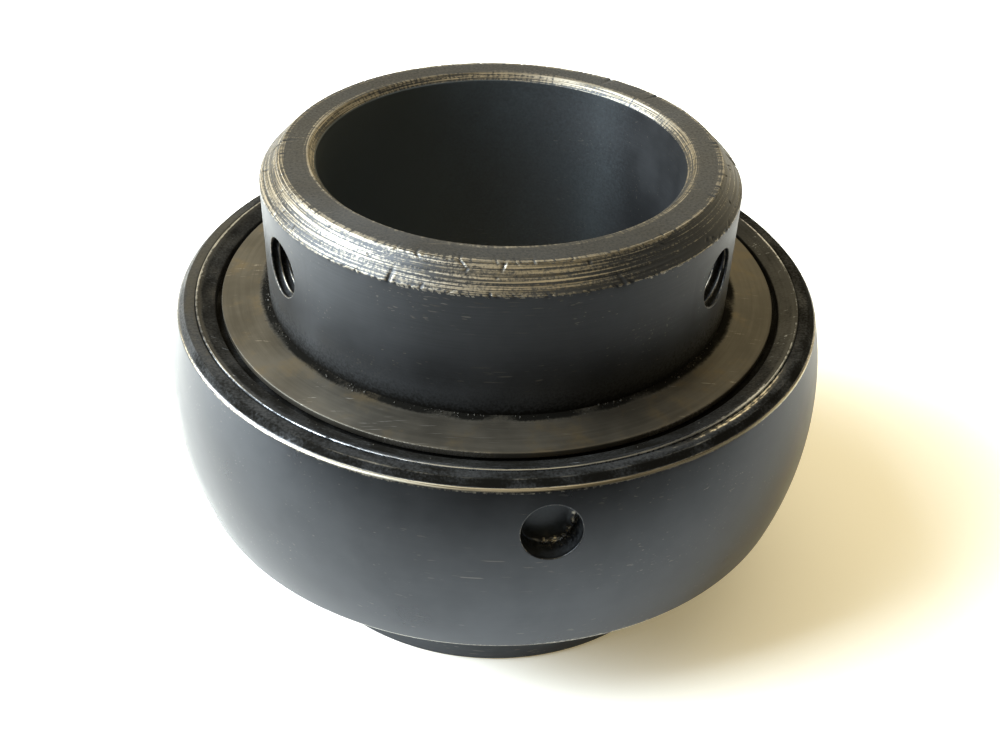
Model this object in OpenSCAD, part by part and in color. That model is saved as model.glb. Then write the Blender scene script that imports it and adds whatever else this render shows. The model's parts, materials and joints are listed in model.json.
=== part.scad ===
// Insert ball bearing: a ball-shaped outer ring, a wide inner ring that clamps
// its shaft with two set screws, nine balls in a riveted cage, and on each side
// a seal under a flinger. The origin is the centre of the ball-shaped seat.
// +Z is the shaft's axis, towards the long end of the inner ring.

/* [Rings] */
// Diameter of the shaft bore
bore_d = 45; // [44:0.1:46]
// Diameter of the ball-shaped seat outside the outer ring
seat_d = 85; // [84:0.5:86]
// Width of the outer ring
outer_w = 25.5; // [25.2:0.1:26]
// Outside diameter of the inner ring
inner_od = 58.56; // [58.2:0.02:58.8]
// Height of the inner ring above the centre plane
inner_up = 31; // [29:0.5:34]
// Depth of the inner ring below the centre plane
inner_down = 27.85; // [25.85:0.5:30.85]
// Leg of the chamfer outside the inner ring's long end
nose_chamfer = 2.57; // [1:0.01:3]
// Leg of the chamfers at both mouths of the bore
bore_chamfer = 0.85; // [0.4:0.05:1.2]
// Leg of the chamfer outside the inner ring's short end
foot_chamfer = 0.4; // [0.2:0.1:1]
// Radius of the outer ring's flat faces, where their chamfer begins
face_r = 39.9; // [39.5:0.1:40.2]

/* [Balls and cage] */
// Ball diameter
ball_d = 12.7; // [12.3:0.1:12.7]
// Number of balls
ball_n = 9; // [7:1:9]
// Diameter of the circle through the ball centres
pitch_d = 65; // [64.8:0.1:65.2]
// Groove radius as a share of the ball diameter
groove_share = 0.52; // [0.515:0.005:0.53]
// Room between a ball and the bottom of either groove
play = 0.05; // [0.03:0.01:0.08]
// Thickness of the cage strip
cage_t = 0.8; // [0.6:0.1:0.9]
// Width of the cage strip, measured outwards from the shaft
cage_w = 4.4; // [4:0.2:4.6]
// Room between a ball and its cage pocket
pocket_play = 0.25; // [0.2:0.05:0.3]
// Diameter of the rivet shanks
rivet_d = 1.6; // [1.2:0.1:2]
// Diameter of the rivet heads
rivet_head_d = 3; // [2.4:0.2:3.4]

/* [Set screws] */
// Minor diameter of the tapped holes, M8 with 1 mm pitch
tap_d = 6.92; // [6.6:0.02:7.2]
// Height of the tapped holes above the centre plane
tap_z = 22.3; // [19:0.1:24]
// Angle between the two tapped holes
tap_spread = 120; // [60:10:180]

/* [Locating dimple] */
// Diameter of the blind dimple in the seat
dimple_d = 6.82; // [5:0.02:7.4]
// Depth of the dimple
dimple_depth = 3.4; // [1.6:0.2:3.4]
// Height of the dimple's mouth above the centre plane
dimple_z = 6.8; // [5:0.2:7.4]
// Bearing of the dimple, from -Y towards +X
dimple_turn = 8.2; // [-60:0.2:60]

/* [Seals] */
// Outside diameter of the flingers
flinger_d = 70.6; // [69.6:0.2:71]
// Sheet thickness of the flingers
flinger_t = 0.9; // [0.8:0.05:1]
// Height of a flinger at the inner ring above the centre plane
flinger_z = 12.9; // [12.8:0.05:13.2]
// How far a flinger falls towards its rim
flinger_fall = 0.45; // [0.2:0.05:0.45]
// Outside diameter of the seal carriers
carrier_d = 77; // [76.6:0.2:77.2]
// Inside diameter of the carriers' cup wall
cup_d = 72.2; // [72:0.1:72.6]
// Sheet thickness of the carriers
carrier_t = 0.75; // [0.6:0.05:0.8]
// Room between the seal lips and the inner ring
lip_play = 0.1; // [0.05:0.01:0.12]

/* [Hidden] */
$fn = 96;
bore_r = bore_d / 2;
seat_r = seat_d / 2;
inner_r = inner_od / 2;
pitch_r = pitch_d / 2;
ball_r = ball_d / 2;
flinger_r = flinger_d / 2;
carrier_r = carrier_d / 2;
cup_r = cup_d / 2;
face_z = outer_w / 2;
land_r = 35.8;              // bore of the outer ring beside its groove
groove_r = groove_share * ball_d;
pocket_r = ball_r + pocket_play;
eps = 0.01;                 // overlap that joins or cuts cleanly
far = 100;                  // longer than any cut

// Heights in the stack of seal parts, above the centre plane
shelf_z = 10.2;             // shelf in the outer ring that carries the seal
cup_seat_z = 11.25;         // foot of the cone that the carrier's rim rests on
rim_z = 12.05;              // top of that cone, at the carrier's outside
seal_z = 8.4;               // underside of the rubber

// Small sizes of the seal parts and the rivets
neck_t = 0.9;               // wall of the flinger's neck
neck_h = 1.5;               // height of that neck, counted from the flinger's top
edge_c = 0.1;               // bevel of the flinger's rim
plate_hole_r = inner_r + 2.1; // hole in the carrier, clear of the inner ring
proud = 0.12;               // how far the carrier's rim stands above the ring's face
lip_n = 3;                  // number of seal lips
lip_reach = 0.8;            // how far the lips reach out of the rubber
rivet_head_h = 0.7;         // height of the rivet heads
rivet_top_share = 0.6;      // their top as a share of their diameter

// Turns a tool that points along +Z so that it points outwards,
// at a bearing counted from -Y towards +X and lifted above the level plane
module aim(bearing, lift = 0) {
    rotate([0, 0, bearing]) rotate([90 - lift, 0, 0]) children();
}

// One copy at each ball's place on the pitch circle, offset by a share of a step
module round_the_pitch(shift = 0) {
    for (i = [0:ball_n - 1])
        rotate([0, 0, (i + shift) * 360 / ball_n])
            translate([pitch_r, 0, 0]) children();
}

// Section of a ball groove whose bottom lies at radius bottom_r;
// side is 1 for the groove under the balls and -1 for the one outside them
module groove_section(bottom_r, side) {
    translate([bottom_r + side * groove_r, 0]) circle(r = groove_r);
}

// Half section of the ring with its flat faces, chamfers and seal seats
module band_section() {
    half = [
        [land_r, 0], [land_r, shelf_z], [cup_r + carrier_t, shelf_z],
        [cup_r + carrier_t, cup_seat_z], [carrier_r, rim_z], [carrier_r, face_z],
        [face_r, face_z], [seat_r, face_z - (seat_r - face_r)], [seat_r, 0]
    ];
    intersection() {
        circle(r = seat_r);
        for (side = [0, 1]) mirror([0, side]) polygon(half);
    }
}

module outer_ring() {
    color([0.15, 0.15, 0.16])
    difference() {
        rotate_extrude() difference() {
            band_section();
            groove_section(pitch_r + ball_r + play, -1);
        }
        aim(dimple_turn, asin(dimple_z / seat_r))
            translate([0, 0, seat_r - dimple_depth])
                cylinder(d = dimple_d, h = far);
    }
}

module inner_ring() {
    color([0.19, 0.19, 0.19])
    difference() {
        rotate_extrude() difference() {
            polygon([
                [bore_r, bore_chamfer - inner_down],
                [bore_r + bore_chamfer, -inner_down],
                [inner_r - foot_chamfer, -inner_down],
                [inner_r, foot_chamfer - inner_down],
                [inner_r, inner_up - nose_chamfer],
                [inner_r - nose_chamfer, inner_up],
                [bore_r + bore_chamfer, inner_up],
                [bore_r, inner_up - bore_chamfer]
            ]);
            groove_section(pitch_r - ball_r - play, 1);
        }
        for (side = [-1, 1])
            translate([0, 0, tap_z]) aim(side * tap_spread / 2)
                translate([0, 0, bore_r / 2]) cylinder(d = tap_d, h = far);
    }
}

module ball(i) {
    color([0.75, 0.76, 0.78])
    rotate([0, 0, (i - 1) * 360 / ball_n])
        translate([pitch_r, 0, 0]) sphere(r = ball_r);
}

// Band of the cage's width, from the centre plane up to height h
module cage_band(h) {
    rotate_extrude() translate([pitch_r - cage_w / 2, 0]) square([cage_w, h]);
}

// Upper half of the cage: a flat strip between the balls, and a cup over each
module cage_half() {
    cup_outer_r = pocket_r + cage_t;
    difference() {
        cage_band(cage_t);
        round_the_pitch() sphere(r = pocket_r);
        round_the_pitch(0.5) translate([0, 0, -eps]) cylinder(d = rivet_d, h = far);
    }
    difference() {
        intersection() {
            cage_band(cup_outer_r);
            round_the_pitch() sphere(r = cup_outer_r);
        }
        round_the_pitch() sphere(r = pocket_r);
    }
}

module cage_upper() {
    color([0.62, 0.6, 0.56]) cage_half();
}

module cage_lower() {
    color([0.56, 0.54, 0.5]) mirror([0, 0, 1]) cage_half();
}

module cage_rivets() {
    color([0.7, 0.7, 0.7])
    round_the_pitch(0.5) for (side = [0, 1]) mirror([0, 0, side]) {
        cylinder(d = rivet_d, h = cage_t + eps);
        translate([0, 0, cage_t])
            cylinder(d1 = rivet_head_d, d2 = rivet_top_share * rivet_head_d,
                     h = rivet_head_h);
    }
}

// Pressed steel disc on the inner ring, with a short neck and a falling rim
module flinger() {
    neck_r = inner_r + neck_t;
    rim_top = flinger_z - flinger_fall;
    rotate_extrude() polygon([
        [inner_r, flinger_z - neck_h], [neck_r, flinger_z - neck_h],
        [neck_r, flinger_z - flinger_t], [flinger_r - edge_c, rim_top - flinger_t],
        [flinger_r, rim_top - flinger_t + edge_c], [flinger_r, rim_top - edge_c],
        [flinger_r - edge_c, rim_top], [inner_r, flinger_z]
    ]);
}

// Pressed steel cup in the mouth of the outer ring, with its rim at the face
module seal_plate() {
    rotate_extrude() polygon([
        [plate_hole_r, shelf_z], [cup_r + carrier_t, shelf_z],
        [cup_r + carrier_t, cup_seat_z], [carrier_r, rim_z],
        [carrier_r, face_z + proud], [carrier_r - proud, face_z + proud], [cup_r, rim_z],
        [cup_r, shelf_z + carrier_t], [plate_hole_r, shelf_z + carrier_t]
    ]);
}

// Rubber under the carrier, with lips around the inner ring; each lip's tip
// is a flat between two shares of its step
module rubber_seal() {
    lip_r = inner_r + lip_play;
    top_z = shelf_z + carrier_t;
    step = (top_z - seal_z) / lip_n;
    lips = [for (i = [0:lip_n - 1]) for (p = [[lip_reach, 0], [0, 0.4], [0, 0.6]])
        [lip_r + p[0], seal_z + (i + p[1]) * step]];
    rotate_extrude() polygon(concat(
        [[land_r, seal_z]], lips,
        [[lip_r + lip_reach, top_z], [plate_hole_r, top_z],
         [plate_hole_r, shelf_z], [land_r, shelf_z]]
    ));
}

module upper_flinger() {
    color([0.33, 0.31, 0.26]) flinger();
}

module upper_seal_plate() {
    color([0.2, 0.2, 0.2]) seal_plate();
}

module upper_seal() {
    color([0.06, 0.06, 0.06]) rubber_seal();
}

module lower_flinger() {
    color([0.33, 0.31, 0.26]) mirror([0, 0, 1]) flinger();
}

module lower_seal_plate() {
    color([0.2, 0.2, 0.2]) mirror([0, 0, 1]) seal_plate();
}

module lower_seal() {
    color([0.06, 0.06, 0.06]) mirror([0, 0, 1]) rubber_seal();
}

outer_ring();
inner_ring();
for (i = [1:ball_n]) ball(i);
cage_upper();
cage_lower();
cage_rivets();
upper_flinger();
upper_seal_plate();
upper_seal();
lower_flinger();
lower_seal_plate();
lower_seal();
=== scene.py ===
"""Looks of an insert ball bearing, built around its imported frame.

Sizes inside the classes are millimetres; a mesh becomes metres when it is handed
to Blender. A bearing is an angle round the shaft, from -Y towards +X. A section
is a closed outline in the plane of radius and height.
"""
import json
import logging
import math
from collections.abc import Callable, Sequence
from dataclasses import dataclass, field
from enum import Enum

import bmesh
import bpy
import numpy as np
from mathutils import Matrix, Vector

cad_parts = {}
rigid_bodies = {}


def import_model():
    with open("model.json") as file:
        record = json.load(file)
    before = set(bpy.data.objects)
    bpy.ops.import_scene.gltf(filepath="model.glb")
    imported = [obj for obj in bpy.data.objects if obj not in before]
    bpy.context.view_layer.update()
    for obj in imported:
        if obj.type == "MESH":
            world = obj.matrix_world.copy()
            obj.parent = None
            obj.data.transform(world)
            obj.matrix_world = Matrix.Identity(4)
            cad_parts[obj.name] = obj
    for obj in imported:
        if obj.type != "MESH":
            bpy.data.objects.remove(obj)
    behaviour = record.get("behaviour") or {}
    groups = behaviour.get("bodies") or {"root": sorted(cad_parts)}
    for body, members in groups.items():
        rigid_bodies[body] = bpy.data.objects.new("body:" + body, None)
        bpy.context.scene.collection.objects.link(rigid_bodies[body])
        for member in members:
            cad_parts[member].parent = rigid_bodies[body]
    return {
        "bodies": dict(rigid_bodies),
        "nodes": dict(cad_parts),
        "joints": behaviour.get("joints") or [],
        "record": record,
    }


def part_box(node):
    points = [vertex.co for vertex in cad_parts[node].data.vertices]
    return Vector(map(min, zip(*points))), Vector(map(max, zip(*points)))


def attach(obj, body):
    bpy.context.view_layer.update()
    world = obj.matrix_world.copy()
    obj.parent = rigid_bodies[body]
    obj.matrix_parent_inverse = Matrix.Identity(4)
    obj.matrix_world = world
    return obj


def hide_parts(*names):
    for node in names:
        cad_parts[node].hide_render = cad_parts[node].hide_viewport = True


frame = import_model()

LOG = logging.getLogger("bearing")
MM = 0.001
WELD = 1e-7
SEED = 41
COLLAR_CELLS = 7  # rings of cells between a window's rim and a hole's mouth
MOUTH_CELLS = 4  # rings of cells on the rounded mouth
THREAD_DEPTH = 0.541  # depth of a metric thread as a share of its pitch

# Film colours: a dark dull film, which is real dirt on the outer ring's faces and painted shade at
# the joints, recesses and thread roots; and a pale tone, which is painted light in the shaded bore
# and dimple.
DARK_FILM_AND_PAINTED_SHADE = (0.007, 0.0066, 0.0055, 1)
PALE_PAINTED_LIGHT_TONE = (0.11, 0.13, 0.145, 1)
BROWN_STAIN = (0.2, 0.15, 0.08, 1)

Array = np.ndarray
Socket = bpy.types.NodeSocket


# ---------------------------------------------------------------- measures


class Gauge:
    """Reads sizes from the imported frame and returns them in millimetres."""

    def __init__(self, packed: dict) -> None:
        """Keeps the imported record's mounts by name.
        """
        self.mounts = {m["name"]: m for m in packed["record"]["mounts"]}

    def reach(self, node: str) -> float:
        """Returns a round node's outside radius."""
        low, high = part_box(node)
        return (high[0] - low[0]) / 2 / MM

    def top(self, node: str) -> float:
        """Returns a node's highest point."""
        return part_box(node)[1][2] / MM

    def bottom(self, node: str) -> float:
        """Returns a node's lowest point."""
        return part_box(node)[0][2] / MM

    def radius(self, mount: str) -> float:
        """Returns the wall radius of a round mount."""
        return self.mounts[mount]["dims"]["r_mm"]

    def place(self, mount: str) -> Array:
        """Returns the point that a mount states on its axis."""
        return np.array(self.mounts[mount]["pos_m"]) / MM

    def axis(self, mount: str) -> Array:
        """Returns a mount's unit axis."""
        axis = np.array(self.mounts[mount]["axis"], dtype=float)
        return axis / np.linalg.norm(axis)


# ---------------------------------------------------------------- surfaces


def smooth_step(low: float, high: float, value: Array) -> Array:
    """Returns 0 below low, 1 above high and 3t^2 - 2t^3 between them."""
    t = np.clip((value - low) / (high - low), 0.0, 1.0)
    return t * t * (3 - 2 * t)


def bump_at(value: Array, centre: float, width: float) -> Array:
    """Returns the bell curve exp(-((value - centre) / width)^2)."""
    return np.exp(-(((value - centre) / width) ** 2))


def by_bearing(bearings: Array, marks: Sequence[tuple[float, float]]) -> Array:
    """Reads a smooth closed curve through marks set round the shaft.

    Args:
        bearings: angles in radians.
        marks: pairs of a bearing in degrees and the value there.

    Returns:
        The value at each bearing, joined by straight stretches that a short
        moving average rounds off.
    """
    at = np.radians([m[0] for m in marks])
    values = np.array([m[1] for m in marks])
    spread = np.radians(np.linspace(-9, 9, 7))
    turned = (bearings[..., None] + spread + math.pi) % (2 * math.pi) - math.pi
    return np.interp(turned, at, values, period=2 * math.pi).mean(axis=-1)


def ripples(
    bearings: Array,
    run: Array,
    rng: np.random.Generator,
    turns: tuple[int, int],
    waves: tuple[float, float],
    count: int = 24,
) -> Array:
    """Sums travelling cosines, cos(k b + w s + p), over a turned surface.

    Each k is a whole number of waves round the shaft, so the pattern closes, and
    each w is 2 pi over a wavelength along the section.

    Args:
        bearings: bearing of each point, in radians.
        run: distance of each point along the section.
        rng: source of the random wave numbers and phases.
        turns: least and most waves round the shaft.
        waves: shortest and longest wavelength along the section, in millimetres.
        count: number of cosines.

    Returns:
        The sum at each point, with a standard deviation of about one.
    """
    total = np.zeros(np.broadcast(bearings, run).shape)
    for _ in range(count):
        k = rng.integers(turns[0], turns[1] + 1) * rng.choice([-1, 1])
        w = 2 * math.pi / rng.uniform(*waves)
        total += np.cos(k * bearings + w * run + rng.uniform(0, 2 * math.pi))
    return total / math.sqrt(count / 2)


@dataclass(frozen=True)
class Corner:
    """A corner of a section, and how finely the stretch after it is cut.

    Attributes:
        r: distance from the shaft's axis.
        z: height.
        fillet: radius that rounds the corner off, or 0 for a plain point.
        cells: number of cells on the straight stretch to the next corner.
    """

    r: float
    z: float
    fillet: float = 0.0
    cells: int = 1


def arc_corners(
    centre: tuple[float, float], radius: float, start: float, end: float, cells: int
) -> list[Corner]:
    """Returns corners along a circle's arc.

    Corner k lies at centre + radius (cos a, sin a), with a going evenly from
    start to end.

    Args:
        centre: the circle's centre in the section's plane.
        radius: the circle's radius.
        start: first angle in degrees, from the outward direction.
        end: last angle in degrees.
        cells: number of cells between the first and the last corner.

    Returns:
        The corners, in order.
    """
    angles = np.radians(np.linspace(start, end, cells + 1))
    return [
        Corner(centre[0] + radius * math.cos(a), centre[1] + radius * math.sin(a))
        for a in angles
    ]


def trace(corners: Sequence[Corner], fillet_cells: int = 4) -> Array:
    """Walks round a closed section and returns its points.

    A filleted corner becomes an arc that touches both stretches at
    fillet / tan(half the corner's angle) from the corner. A straight stretch is
    cut into equal cells.

    Args:
        corners: the section's corners in order.
        fillet_cells: number of cells on each fillet.

    Returns:
        An array of radius and height pairs.
    """
    at = np.array([(c.r, c.z) for c in corners])
    starts, ends, arcs = [], [], []
    for i, corner in enumerate(corners):
        here, before, after = at[i], at[i - 1], at[(i + 1) % len(at)]
        if corner.fillet <= 0:
            starts.append(here)
            ends.append(here)
            arcs.append(here[None, :])
            continue
        u = (before - here) / np.linalg.norm(before - here)
        v = (after - here) / np.linalg.norm(after - here)
        half = math.acos(float(np.clip(u @ v, -1, 1))) / 2
        reach = corner.fillet / math.tan(half)
        middle = here + (u + v) / np.linalg.norm(u + v) * corner.fillet / math.sin(half)
        first, last = here + u * reach - middle, here + v * reach - middle
        sweep = math.pi - 2 * half
        t = np.linspace(0, 1, fillet_cells + 1)[:, None]
        arc = (np.sin((1 - t) * sweep) * first + np.sin(t * sweep) * last) / math.sin(sweep)
        arcs.append(middle + arc)
        starts.append(middle + arc[0])
        ends.append(middle + arc[-1])
    points = []
    for i, corner in enumerate(corners):
        points.append(arcs[i])
        target = starts[(i + 1) % len(corners)]
        t = np.arange(1, corner.cells)[:, None] / corner.cells
        points.append(ends[i] * (1 - t) + target * t)
    return np.concatenate(points)


def full_turn(columns: int, middle: int = 0) -> Array:
    """Returns evenly spaced bearings once round the shaft; column middle is at 0."""
    return (np.arange(columns) - middle) * 2 * math.pi / columns


def run_length(section: Array) -> Array:
    """Returns each point's distance along the section from its first point."""
    steps = np.linalg.norm(np.diff(section, axis=0), axis=1)
    return np.concatenate([[0.0], np.cumsum(steps)])


def outward(section: Array) -> Array:
    """Returns the unit normal of a closed section at each point.

    The normal is the chord between both neighbours turned a quarter turn, with
    the sign that makes the enclosed area's side the inside.

    Args:
        section: radius and height pairs.

    Returns:
        One unit vector for each point.
    """
    after, before = np.roll(section, -1, axis=0), np.roll(section, 1, axis=0)
    chord = after - before
    normal = np.stack([chord[:, 1], -chord[:, 0]], axis=1)
    normal /= np.linalg.norm(normal, axis=1)[:, None]
    area = np.sum(section[:, 0] * after[:, 1] - after[:, 0] * section[:, 1])
    return normal * (1.0 if area > 0 else -1.0)


def revolve(section: Array, bearings: Array, relief: Array | None = None) -> Array:
    """Turns a section round the shaft.

    Point (i, j) is (r sin b, -r cos b, z), where (r, z) is the section's point i
    moved along its normal by relief[i, j], and b is bearing j.

    Args:
        section: radius and height pairs.
        bearings: angles in radians.
        relief: how far each point stands out, or None for a plain surface.

    Returns:
        An array of points with the shape (section, bearings, 3).
    """
    r = np.repeat(section[:, :1], len(bearings), axis=1)
    z = np.repeat(section[:, 1:], len(bearings), axis=1)
    if relief is not None:
        normal = outward(section)
        r = r + normal[:, :1] * relief
        z = z + normal[:, 1:] * relief
    return np.stack([r * np.sin(bearings), -r * np.cos(bearings), z], axis=-1)


class Skin:
    """A closed surface gathered from grids of points that meet at shared edges."""

    def __init__(self, name: str) -> None:
        """Starts an empty surface with the name of its object.

        Args:
            name: the object's name.
        """
        self.name = name
        self.points: list[Array] = []
        self.faces: list[Array] = []
        # The film layer holds real dirt and painted light: above 0 a dark film, which is painted
        # shade in places; below 0 pale painted light.
        self.layers: dict[str, list[Array]] = {"wear": [], "run": [], "dirt": []}
        self.count = 0

    def add(
        self,
        grid: Array,
        wear: Array | float = 0.0,
        run: Array | float = 0.0,
        dirt: Array | float = 0.0,
        close_rows: bool = False,
        keep: Array | None = None,
    ) -> None:
        """Adds a grid that closes on itself along its columns.

        Cell (i, j) is the quad between rows i and i + 1 and columns j and j + 1.

        Args:
            grid: points with the shape (rows, columns, 3).
            wear: how bare each point is rubbed, from 0 to 1.
            run: distance of each point along its section.
            dirt: above 0, how thick a dark film lies on each point, which is real dirt in some
                places and painted shade in others; below 0, how much pale painted light does.
            close_rows: whether the last row joins the first.
            keep: which cells to make, or None for all of them.
        """
        rows, cols = grid.shape[:2]
        index = np.arange(rows * cols).reshape(rows, cols) + self.count
        below = np.roll(index, -1, axis=0)
        quads = np.stack(
            [index, np.roll(index, -1, axis=1), np.roll(below, -1, axis=1), below], axis=-1
        )
        if not close_rows:
            quads = quads[:-1]
        if keep is not None:
            quads = quads[keep[: len(quads)]]
        self.points.append(grid.reshape(-1, 3))
        self.faces.append(quads.reshape(-1, 4))
        self.record((rows, cols), wear, run, dirt)

    def stitch(
        self, coarse: Array, fine: Array, run: float, dirt: Sequence[Array]
    ) -> None:
        """Joins a row of points to a row that has several times as many.

        Face j goes along the coarse row from point j to j + 1, and back along the
        fine row's points between them.

        Args:
            coarse: points of the row with fewer columns.
            fine: points of the row with more columns.
            run: both rows' distance along the section.
            dirt: the layer of dirt and painted light at each point of the coarse row, and of the
                fine row.
        """
        cols, each = len(coarse), len(fine) // len(coarse)
        start = np.arange(cols)[:, None]
        along = np.concatenate([start, (start + 1) % cols], axis=1)
        back = (start * each + np.arange(each, -1, -1)) % len(fine) + cols
        self.points.append(np.concatenate([coarse, fine]))
        self.faces.append(np.concatenate([along, back], axis=1) + self.count)
        self.record((cols + len(fine),), 0.0, run, np.concatenate(dirt))

    def gather(self, points: Array, quads: Array, shade: Array) -> None:
        """Adds loose shells: their points, their quads and a wear for each point.

        Args:
            points: the shells' points.
            quads: four point numbers for each face.
            shade: wear of each point, from 0 to 1.
        """
        self.points.append(points.reshape(-1, 3))
        self.faces.append(quads.reshape(-1, 4) + self.count)
        self.record(shade.shape, shade, shade * 50, 0.0)

    def record(
        self, shape: tuple[int, ...], wear: Array | float, run: Array | float, dirt: Array | float
    ) -> None:
        """Keeps the wear, run and layer of dirt and painted light of the points just added, and
        counts them.

        Args:
            shape: how many points there are each way.
            wear, run, dirt: a value for each point, or one for all of them.
        """
        for kept, value in zip(self.layers.values(), (wear, run, dirt)):
            kept.append(np.broadcast_to(value, shape).ravel())
        self.count += math.prod(shape)

    def build(self, material: bpy.types.Material) -> bpy.types.Object:
        """Welds the grids, turns every face outwards and makes the object.

        Args:
            material: the surface's finish.

        Returns:
            The new object, at the origin, with smooth shading.
        """
        mesh = bpy.data.meshes.new(self.name)
        faces = [face for block in self.faces for face in block.tolist()]
        mesh.from_pydata(np.concatenate(self.points) * MM, [], faces)
        for layer, values in self.layers.items():
            made = mesh.attributes.new(layer, "FLOAT", "POINT")
            made.data.foreach_set("value", np.concatenate(values).astype(np.float32))
        work = bmesh.new()
        work.from_mesh(mesh)
        bmesh.ops.remove_doubles(work, verts=work.verts, dist=WELD)
        loose = [v for v in work.verts if not v.link_faces]
        bmesh.ops.delete(work, geom=loose, context="VERTS")
        bmesh.ops.recalc_face_normals(work, faces=work.faces)
        work.to_mesh(mesh)
        work.free()
        mesh.shade_smooth()
        mesh.materials.append(material)
        made = bpy.data.objects.new(self.name, mesh)
        bpy.context.scene.collection.objects.link(made)
        return made


@dataclass(frozen=True)
class Window:
    """A rectangle of grid cells that a hole's collar takes the place of.

    Attributes:
        low, high: first and last row.
        left, right: first and last column.
    """

    low: int
    high: int
    left: int
    right: int

    def opens(self, rows: int, cols: int) -> Array:
        """Returns which cells of a grid lie outside the window.

        Args:
            rows, cols: the grid's size in cells.

        Returns:
            False for the cells inside the window, True elsewhere.
        """
        keep = np.ones((rows, cols), dtype=bool)
        columns = np.arange(self.left, self.right) % cols
        keep[self.low : self.high, columns] = False
        return keep

    def rim(self, grid: Array) -> Array:
        """Returns the grid's values once round the window's edge.

        Args:
            grid: what to read, with the shape (rows, columns) or more.

        Returns:
            The values in order.
        """
        cols = grid.shape[1]
        left_right = np.arange(self.left, self.right)
        low_high = np.arange(self.low, self.high)
        rows = np.concatenate([
            np.full(len(left_right), self.low), low_high,
            np.full(len(left_right), self.high), low_high[::-1] + 1,
        ])
        columns = np.concatenate([
            left_right, np.full(len(low_high), self.right),
            left_right[::-1] + 1, np.full(len(low_high), self.left),
        ])
        return grid[rows, columns % cols]


@dataclass(frozen=True)
class Drill:
    """A round hole's own axes: u and v across it, w along it and out of its mouth.

    Attributes:
        origin: a point on the axis.
        axis: unit vector out of the mouth.
        lift: the surface's w at (u, v), as a function of both.
    """

    origin: Array
    axis: Array
    lift: Callable[[Array, Array], Array]

    def across(self) -> tuple[Array, Array]:
        """Returns the unit vectors of u, level, and of v, upwards.

        Returns:
            Both vectors.
        """
        level = np.cross([0.0, 0.0, 1.0], self.axis)
        level /= np.linalg.norm(level)
        return level, np.cross(self.axis, level)

    def flat(self, points: Array) -> Array:
        """Returns the u and v of points.

        Args:
            points: points in millimetres.

        Returns:
            Pairs of u and v.
        """
        level, up = self.across()
        off = points - self.origin
        return np.stack([off @ level, off @ up], axis=-1)

    def angles(self, points: Array) -> Array:
        """Returns the angle of each point round the axis, from u towards v."""
        flat = self.flat(points)
        return np.arctan2(flat[..., 1], flat[..., 0])

    def solid(self, u: Array, v: Array, w: Array) -> Array:
        """Returns points from their u, v and w.

        Args:
            u, v, w: the points' places on the hole's own axes.

        Returns:
            Points in millimetres.
        """
        level, up = self.across()
        return (
            self.origin + u[..., None] * level + v[..., None] * up + w[..., None] * self.axis
        )

    def collar(
        self, rim: Array, radius: float, edge: float
    ) -> tuple[Array, Array]:
        """Fills the surface between a window's rim and the hole's rounded mouth.

        Each ring is a blend in (u, v) of the rim and of a circle at the same
        angles, lifted onto the surface. The mouth is a quarter circle of radius
        edge that turns down into the hole.

        Args:
            rim: points once round the window's edge.
            radius: the hole's radius.
            edge: radius of the rounded mouth.

        Returns:
            The rings from the rim inwards, and the angle of each column.
        """
        flat, angle = self.flat(rim), self.angles(rim)
        circle = (radius + edge) * np.stack([np.cos(angle), np.sin(angle)], axis=-1)
        t = (np.linspace(1, 0, COLLAR_CELLS + 1) ** 1.6)[:, None, None]
        rings = flat * t + circle * (1 - t)
        surface = self.solid(rings[..., 0], rings[..., 1], self.lift(rings[..., 0], rings[..., 1]))
        surface[0] = rim
        turn = np.linspace(0, math.pi / 2, MOUTH_CELLS + 1)[1:, None]
        reach = radius + edge * (1 - np.sin(turn))
        u, v = reach * np.cos(angle), reach * np.sin(angle)
        mouth = self.solid(u, v, self.lift(u, v) - edge * (1 - np.cos(turn)))
        return np.concatenate([surface, mouth]), angle


# ---------------------------------------------------------------- finishes


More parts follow.
